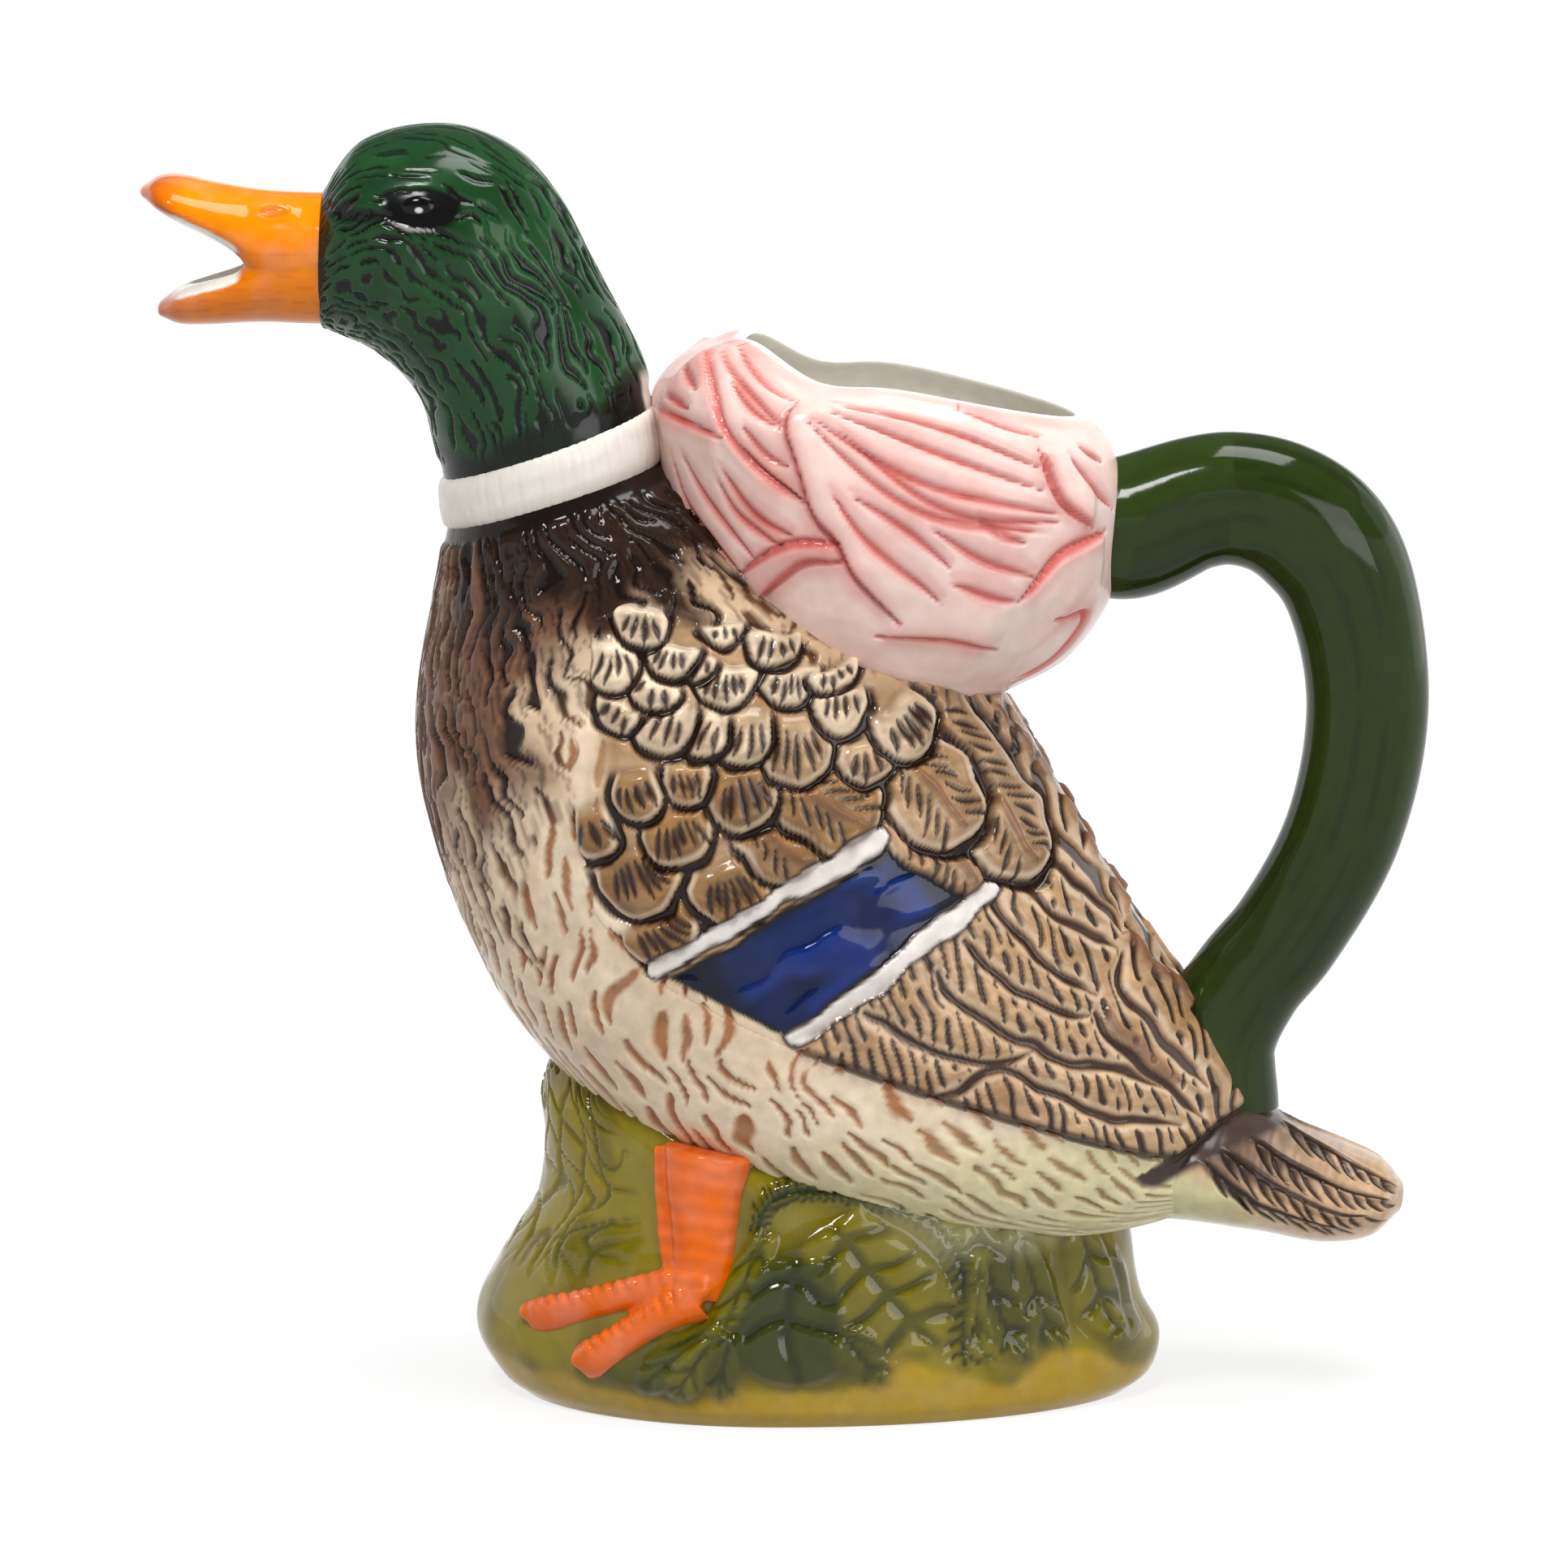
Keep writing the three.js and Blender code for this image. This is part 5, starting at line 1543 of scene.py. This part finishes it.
class CREAMER_OT_mound(bpy.types.Operator):
    """Models the grassy mound that the duck stands on, hollow underneath"""
    bl_idname = "creamer.mound"
    bl_label = "Mound"

    def execute(self, context):
        sizes, tones = sizes_and_tones(context)
        flank = Loft(BASE_ROWS, BASE_HALF_WIDTH, sizes["skin_step"], BASE_COLUMNS, tones["olive"])
        mound_skin(sizes, tones, flank)
        hollow = Loft(FOOT_HOLLOW_ROWS, BASE_HALF_WIDTH, 2, BASE_COLUMNS, 0.9 * tones["lining"])
        grid = np.concatenate([hollow.points, flank.surface()])
        mound = tube_piece("grassy_mound", grid, np.concatenate([hollow.colour, flank.colour]))
        carve(mound, collar_plug())
        glaze = glaze_material("grass_glaze", (0.03, 0.1), 0.08, 0.04, 1.38)
        settle_piece(mound, glaze, "grass_glaze", "base_mound")
        return {"FINISHED"}


# Names under which a path carries the reach of its skin and the distance along it
REACH = "reach"
ALONG = "along"


def path_piece(name, paths):
    """A mesh of open paths; each path is rows of drawn x, y, z and the reach of its skin there, in mm"""
    rows = np.concatenate(paths)
    starts = np.cumsum([0, *(len(path) for path in paths)])
    edges = [(i, i + 1) for first, last in zip(starts[:-1], starts[1:]) for i in range(first, last - 1)]
    mesh = bpy.data.meshes.new(name)
    mesh.from_pydata(in_frame(rows[:, :3]).tolist(), edges, [])
    along = np.concatenate([travelled(path[:, :3]) for path in paths])
    for label, values in ((REACH, rows[:, 3] * MM), (ALONG, along)):
        layer = mesh.attributes.new(label, "FLOAT", "POINT")
        layer.data.foreach_set("value", values.astype(np.float32))
    return put_in_scene(name, mesh)


class Tree:
    """A Geometry Nodes tree with named inputs, built node by node"""

    def __init__(self, name, **inputs):
        self.tree = bpy.data.node_groups.new(name, "GeometryNodeTree")
        self.tree.is_modifier = True
        self.tree.interface.new_socket("Geometry", in_out="INPUT", socket_type="NodeSocketGeometry")
        for label, kind in inputs.items():
            self.tree.interface.new_socket(label, in_out="INPUT", socket_type="NodeSocket" + kind)
        self.tree.interface.new_socket("Geometry", in_out="OUTPUT", socket_type="NodeSocketGeometry")
        self.start = self.tree.nodes.new("NodeGroupInput").outputs

    def node(self, kind, inputs=None, **settings):
        """Adds a node, and returns its outputs"""
        return add_node(self.tree, kind, inputs, **settings)

    def join(self, *parts):
        """One geometry from several"""
        joined = self.tree.nodes.new("GeometryNodeJoinGeometry")
        for part in parts:
            self.tree.links.new(part, joined.inputs[0])
        return joined.outputs[0]

    def finish(self, geometry):
        """Ends the tree in plain geometry with its glaze"""
        real = self.node("GeometryNodeRealizeInstances", {"Geometry": geometry})
        glazed = self.node("GeometryNodeSetMaterial", {"Geometry": real[0], "Material": self.start["Glaze"]})
        end = self.tree.nodes.new("NodeGroupOutput")
        self.tree.links.new(glazed[0], end.inputs[0])

    def run(self, piece, **values):
        """Turns a piece into the plain mesh that the tree makes of it"""
        modifier = piece.modifiers.new(self.tree.name, "NODES")
        modifier.node_group = self.tree
        for item in self.tree.interface.items_tree:
            if item.in_out == "INPUT" and item.name in values:
                modifier[item.identifier] = values[item.name]
        bake_modifier(piece)
        if not len(piece.data.polygons):
            raise RuntimeError(f"the tree {self.tree.name} made nothing of {piece.name}")


def sweep_nodes(tree):
    """Nodes that sweep an oval along each path, as thick as the path's reach"""
    path = tree.node("GeometryNodeMeshToCurve", {"Mesh": tree.start["Geometry"]})
    level = tree.node("GeometryNodeSetCurveNormal", {"Curve": path[0], "Normal": (0, 1, 0)}, mode="FREE")
    reach = tree.node("GeometryNodeInputNamedAttribute", {"Name": REACH}, data_type="FLOAT")
    ring = tree.node("GeometryNodeCurvePrimitiveCircle", {"Resolution": tree.start["Sides"], "Radius": 1.0})
    shape = tree.node("ShaderNodeCombineXYZ", {"X": tree.start["Breadth"], "Y": 1.0, "Z": 1.0})
    oval = tree.node("GeometryNodeTransform", {"Geometry": ring[0], "Scale": shape[0]})
    parts = {"Curve": level[0], "Profile Curve": oval[0], "Scale": reach[0], "Fill Caps": True}
    swept = tree.node("GeometryNodeCurveToMesh", parts)
    return level[0], reach[0], swept[0]


def sweep_tree():
    """A rounded rod along each path"""
    tree = Tree("rounded_rod", Sides="Int", Breadth="Float", Glaze="Material")
    tree.finish(sweep_nodes(tree)[2])
    return tree


def toe_tree():
    """A rod along each path with a row of rounded knuckles over it"""
    tree = Tree("knuckled_toe", Sides="Int", Breadth="Float", Spacing="Float", Rise="Vector",
                Glaze="Material")
    path, reach, rod = sweep_nodes(tree)
    steps = {"Curve": path, "Length": tree.start["Spacing"]}
    places = tree.node("GeometryNodeResampleCurve", steps, mode="LENGTH")
    lift = tree.node("ShaderNodeVectorMath", {0: tree.start["Rise"], "Scale": reach}, operation="SCALE")
    raised = tree.node("GeometryNodeSetPosition", {"Geometry": places[0], "Offset": lift[0]})
    points = tree.node("GeometryNodeCurveToPoints", {"Curve": raised[0]}, mode="EVALUATED")
    bead = tree.node("GeometryNodeMeshIcoSphere", {"Radius": 0.62, "Subdivisions": 2})
    row = {"Points": points[0], "Instance": bead[0], "Scale": reach}
    knuckles = tree.node("GeometryNodeInstanceOnPoints", row)
    tree.finish(tree.join(rod, knuckles[0]))
    return tree


class CREAMER_OT_handle(bpy.types.Operator):
    """Sweeps the green stem of a handle from the collar round to the tail"""
    bl_idname = "creamer.handle"
    bl_label = "Handle"

    def execute(self, context):
        _, tones = sizes_and_tones(context)
        rows = np.array(HANDLE_ROWS)
        at = np.linspace(0, 1, 240)
        fronts, backs = spline(rows[:, :2], at), spline(rows[:, 2:4], at)
        middle = (fronts + backs) / 2
        reach = np.linalg.norm(backs - fronts, axis=1) / 2
        path = np.stack([middle[:, 0], np.zeros_like(at), middle[:, 1], reach], 1)
        stem = path_piece("handle_stem", [path])
        glaze = glaze_material("handle_glaze", (0.05, 0.14), 0.08, 0.03)
        breadth = HANDLE_HALF_WIDTH / HANDLE_HALF_THICKNESS
        sweep_tree().run(stem, Sides=HANDLE_COLUMNS, Breadth=breadth, Glaze=glaze)
        points, normals = shape_of(stem.data)
        skin = Skin(points, normals, tones["stem"])
        along = np.empty(len(points), np.float32)
        stem.data.attributes[ALONG].data.foreach_get("value", along)
        centre = np.stack([np.interp(along, travelled(middle), middle[:, k]) for k in (0, 1)], 1)
        out = np.linalg.norm(points[:, (0, 2)] - centre, axis=1) * np.sign(normals[:, 0] + 1e-6)
        turn = np.arctan2(points[:, 1], out)
        streak = strokes(along / 26, 2.6 * turn, 131, None, 0.34)
        thin = noise(along / 30, 1.4 * turn, 132)
        skin.tint(0.55 * tones["stem"], 0.55 * streak)
        skin.tint(1.7 * tones["stem"], 0.5 * smooth(0.45, 0.85, thin))
        repaint(stem, skin)
        settle_piece(stem, glaze, "handle_glaze", "handle")
        return {"FINISHED"}


# Bones of the left leg: drawn x, y, z and the reach of the flesh round them
SHANK_PATH = [
    (-10.2, -21.4, 38.2, 6.3), (-10.8, -22.4, 33.5, 5.4), (-10.9, -23.2, 28, 4.7), (-11.2, -23.8, 22.5, 4.3),
    (-12.4, -24.1, 18.6, 4.1),
]
# The ridge down the front of the shank
SPUR_PATH = [
    (-17.2, -19.6, 38.2, 0.8), (-16.8, -21.6, 31, 0.9), (-16.2, -22.9, 25, 1.0), (-14.8, -23.6, 20.5, 1.6),
]
# The two toes, from the ankle out
TOE_PATHS = [
    [(-13.5, -24.2, 19.6, 3.0), (-19.5, -22.9, 18.6, 2.3), (-27, -20.2, 16, 2.3), (-33.2, -16.2, 13.4, 2.7),
     (-35.4, -14.4, 12.6, 2.2)],
    [(-11.6, -24.8, 18.2, 3.4), (-17, -24.9, 15.6, 2.5), (-22.6, -23.6, 11.6, 2.5), (-26.4, -22.2, 8.7, 2.8),
     (-28, -21.4, 7.6, 2.3)],
]
# Breadth of the shank as a share of its depth, and the spacing of the ribs round it
SHANK_BREADTH = 0.8
SHANK_RIB = 2.6
# Knuckles on the toes: their spacing, and how far out of the bone they lie in shares of its reach
KNUCKLE_STEP = 2.2
KNUCKLE_RISE = (0, -0.42, 0.52)
# Spacing of the scales along a toe
TOE_SCALE = 1.6


class CREAMER_OT_legs(bpy.types.Operator):
    """Models the two legs, with ribbed shanks and a row of scales along each toe"""
    bl_idname = "creamer.legs"
    bl_label = "Legs"

    def execute(self, context):
        sizes, tones = sizes_and_tones(context)
        glaze = glaze_material("leg_glaze", (0.05, 0.15), 0.06, 0.03)
        shank = path_piece("left_leg_skin", [curved(SHANK_PATH), curved(SPUR_PATH)])
        sweep_tree().run(shank, Sides=LEG_COLUMNS, Breadth=SHANK_BREADTH, Glaze=glaze)
        toes = path_piece("toes", [curved(path) for path in TOE_PATHS])
        toe_tree().run(toes, Sides=LEG_COLUMNS, Breadth=1.0, Spacing=KNUCKLE_STEP * MM, Rise=KNUCKLE_RISE,
                       Glaze=glaze)
        whole = bmesh.new()
        whole.from_mesh(shank.data)
        whole.from_mesh(toes.data)
        whole.to_mesh(shank.data)
        whole.free()
        bpy.data.objects.remove(toes)
        soften(shank, grain=0.4, passes=4)
        skin = Skin(*shape_of(shank.data), tones["foot_orange"])
        on_shank = smooth(20, 22, skin.z)
        wobble = noise(skin.x / 3, skin.z / 3, 141)
        rib = np.cos(2 * math.pi * (skin.z + 0.12 * skin.x + 1.5 * wobble) / SHANK_RIB)
        skin.lift(0.03 * rib * on_shank)
        skin.tint(tones["burnt"], on_shank * np.clip(0.1 - 0.16 * rib, 0, 1))
        skin.tint(1.25 * tones["foot_orange"], 0.25 * on_shank * smooth(0.2, 0.9, rib))
        above = smooth(0.1, 0.6, skin.normals[:, 2] - 0.2 * skin.normals[:, 1])
        for path in TOE_PATHS:
            bones = curved(path)[:, (0, 2)]
            gap, share, _ = line_distance(skin.x, skin.z, bones)
            scale = np.abs(np.sin(math.pi * share * travelled(bones)[-1] / TOE_SCALE))
            on_toe = smooth(3.8, 2.4, gap) * (1 - on_shank) * above * smooth(0.95, 0.8, share)
            skin.lift(0.6 * sizes["scute_rise"] * (scale - 0.7) * on_toe)
            skin.tint(tones["burnt"], 0.6 * smooth(0.6, 0.1, scale) * on_toe)
            skin.tint(1.3 * tones["foot_orange"], 0.4 * smooth(0.7, 1, scale) * on_toe)
        repaint(shank, skin)
        right = mirrored("right_leg_skin", shank)
        settle_piece(shank, glaze, "leg_glaze", "left_leg")
        settle_piece(right, glaze, "leg_glaze", "right_leg")
        return {"FINISHED"}


# The photograph's view, in metres: what it looks at, from how far and how steeply, with a lens in mm
CAMERA_TARGET = (-0.0008, 0, 0.085)
CAMERA_DISTANCE = 1.0
CAMERA_RISE = math.radians(10)
CAMERA_LENS = 165.8
# How far the table lies flat, and the radius its rim sweeps up with
TABLE_FLAT = 2.2
RIM_SWEEP = 1.2
# Greys of the table and the studio, and shares of the table's glow: under the jug, and as light on the jug
TABLE_GREY = 0.2
STUDIO_GREY = 0.26
GLOW_UNDER_JUG = 0.8
GLOW_ON_JUG = 0.45
# Soft boxes: name, place in metres, side in metres and power in watts
SOFT_LIGHTS = [
    ("key_light", (-0.3, -0.75, 1.2), 0.3, 10),
    ("fill_light", (0.7, -0.8, 0.45), 0.6, 4.5),
    ("top_light", (0.25, -0.05, 1.2), 0.5, 8),
    ("left_panel", (-0.95, 0.4, 0.35), 0.8, 1),
    ("right_panel", (0.95, 0.4, 0.35), 0.8, 1.6),
]


def soft_light(name, place, size, power):
    """A square soft box aimed at the jug"""
    lamp = bpy.data.lights.new(name, "AREA")
    lamp.size = size
    lamp.energy = power
    light = put_in_scene(name, lamp)
    light.location = place
    light.visible_camera = False
    light.rotation_euler = (Vector(CAMERA_TARGET) - Vector(place)).to_track_quat("-Z", "Y").to_euler()


def seen_directly(tree):
    """1 for what the camera, a reflection or a clear glaze sees, 0 for light that only falls on things"""
    ray = add_node(tree, "ShaderNodeLightPath")
    seen = ray["Is Camera Ray"]
    for label in ("Is Glossy Ray", "Is Transmission Ray"):
        seen = add_node(tree, "ShaderNodeMath", {0: seen, 1: ray[label]}, operation="MAXIMUM")[0]
    return seen


def at_least(tree, value, low):
    """A node's output from 0 to 1, made to run from low to 1"""
    return add_node(tree, "ShaderNodeMapRange", {"Value": value, "To Min": low})["Result"]


def paper_material():
    """Plain paper that glows softly, more to the eye than to the jug"""
    paper = bpy.data.materials.new("white_paper")
    paper.use_nodes = True
    tree = paper.node_tree
    place = add_node(tree, "ShaderNodeTexCoord")["Object"]
    away = add_node(tree, "ShaderNodeVectorMath", {0: place}, operation="LENGTH")["Value"]
    glow = at_least(tree, away, GLOW_UNDER_JUG)
    seen = at_least(tree, seen_directly(tree), GLOW_ON_JUG)
    strength = add_node(tree, "ShaderNodeMath", {0: glow, 1: seen}, operation="MULTIPLY")
    feed(tree, tree.nodes["Principled BSDF"], {
        "Base Color": (TABLE_GREY, TABLE_GREY, TABLE_GREY, 1),
        "Roughness": 1,
        "Specular IOR Level": 0,
        "Emission Color": (1, 1, 1, 1),
        "Emission Strength": strength[0],
    })
    return paper


def table_top():
    """A round table whose rim sweeps up into a plain backdrop"""
    rings = [(0.5 * TABLE_FLAT, 0)]
    for bend in np.linspace(0, math.pi / 2, 17):
        rings.append((TABLE_FLAT + RIM_SWEEP * math.sin(bend), RIM_SWEEP * (1 - math.cos(bend))))
    around = 96
    turns = np.arange(around) * 2 * math.pi / around
    points = [(0, 0, 0)]
    for reach, rise in rings:
        points += [(reach * math.cos(turn), reach * math.sin(turn), rise) for turn in turns]
    faces = [(0, 1 + i, 1 + (i + 1) % around) for i in range(around)]
    for ring in range(len(rings) - 1):
        first = 1 + ring * around
        for i in range(around):
            side = (i + 1) % around
            faces.append((first + i, first + around + i, first + around + side, first + side))
    mesh = bpy.data.meshes.new("table")
    mesh.from_pydata(points, [], faces)
    mesh.shade_smooth()
    return put_in_scene("table", mesh)


class CREAMER_OT_stage(bpy.types.Operator):
    """Sets the pale table, the soft lights and the camera"""
    bl_idname = "creamer.stage"
    bl_label = "Stage"

    def execute(self, context):
        scene = context.scene
        scene.view_settings.view_transform = "Standard"
        table = table_top()
        table.data.materials.append(paper_material())
        world = bpy.data.worlds.new("studio")
        world.use_nodes = True
        backdrop = world.node_tree.nodes["Background"]
        backdrop.inputs["Color"].default_value = (STUDIO_GREY, STUDIO_GREY, STUDIO_GREY, 1)
        scene.world = world
        for light in SOFT_LIGHTS:
            soft_light(*light)
        lens = bpy.data.cameras.new("view")
        lens.lens = CAMERA_LENS
        camera = put_in_scene("view", lens)
        away = Vector((0, -math.cos(CAMERA_RISE), math.sin(CAMERA_RISE))) * CAMERA_DISTANCE
        camera.location = Vector(CAMERA_TARGET) + away
        camera.rotation_euler = (-away).to_track_quat("-Z", "Y").to_euler()
        scene.camera = camera
        return {"FINISHED"}


PIECES = (
    CREAMER_OT_body, CREAMER_OT_wings, CREAMER_OT_neck_band, CREAMER_OT_head, CREAMER_OT_bill,
    CREAMER_OT_eyes, CREAMER_OT_collar, CREAMER_OT_handle, CREAMER_OT_tail, CREAMER_OT_mound,
    CREAMER_OT_legs, CREAMER_OT_stage,
)


class CREAMER_PT_panel(bpy.types.Panel):
    """Lists the jug's sizes, glazes and pieces"""
    bl_label = "Cream jug"
    bl_idname = "CREAMER_PT_panel"
    bl_space_type = "VIEW_3D"
    bl_region_type = "UI"
    bl_category = "Cream jug"

    def draw(self, context):
        for group in (context.scene.creamer_sizes, context.scene.creamer_glazes):
            box = self.layout.box()
            for key in type(group).__annotations__:
                box.prop(group, key)
        for piece in PIECES:
            self.layout.operator(piece.bl_idname)


CLASSES = (CreamerSizes, CreamerGlazes, *PIECES, CREAMER_PT_panel)


def register():
    for item in CLASSES:
        bpy.utils.register_class(item)
    bpy.types.Scene.creamer_sizes = bpy.props.PointerProperty(type=CreamerSizes)
    bpy.types.Scene.creamer_glazes = bpy.props.PointerProperty(type=CreamerGlazes)


def unregister():
    del bpy.types.Scene.creamer_glazes
    del bpy.types.Scene.creamer_sizes
    for item in reversed(CLASSES):
        bpy.utils.unregister_class(item)


def main():
    register()
    bpy.ops.creamer.body()
    bpy.ops.creamer.wings()
    bpy.ops.creamer.neck_band()
    bpy.ops.creamer.head()
    bpy.ops.creamer.bill()
    bpy.ops.creamer.eyes()
    bpy.ops.creamer.collar()
    bpy.ops.creamer.handle()
    bpy.ops.creamer.tail()
    bpy.ops.creamer.mound()
    bpy.ops.creamer.legs()
    bpy.ops.creamer.stage()


if __name__ == "__main__":
    main()
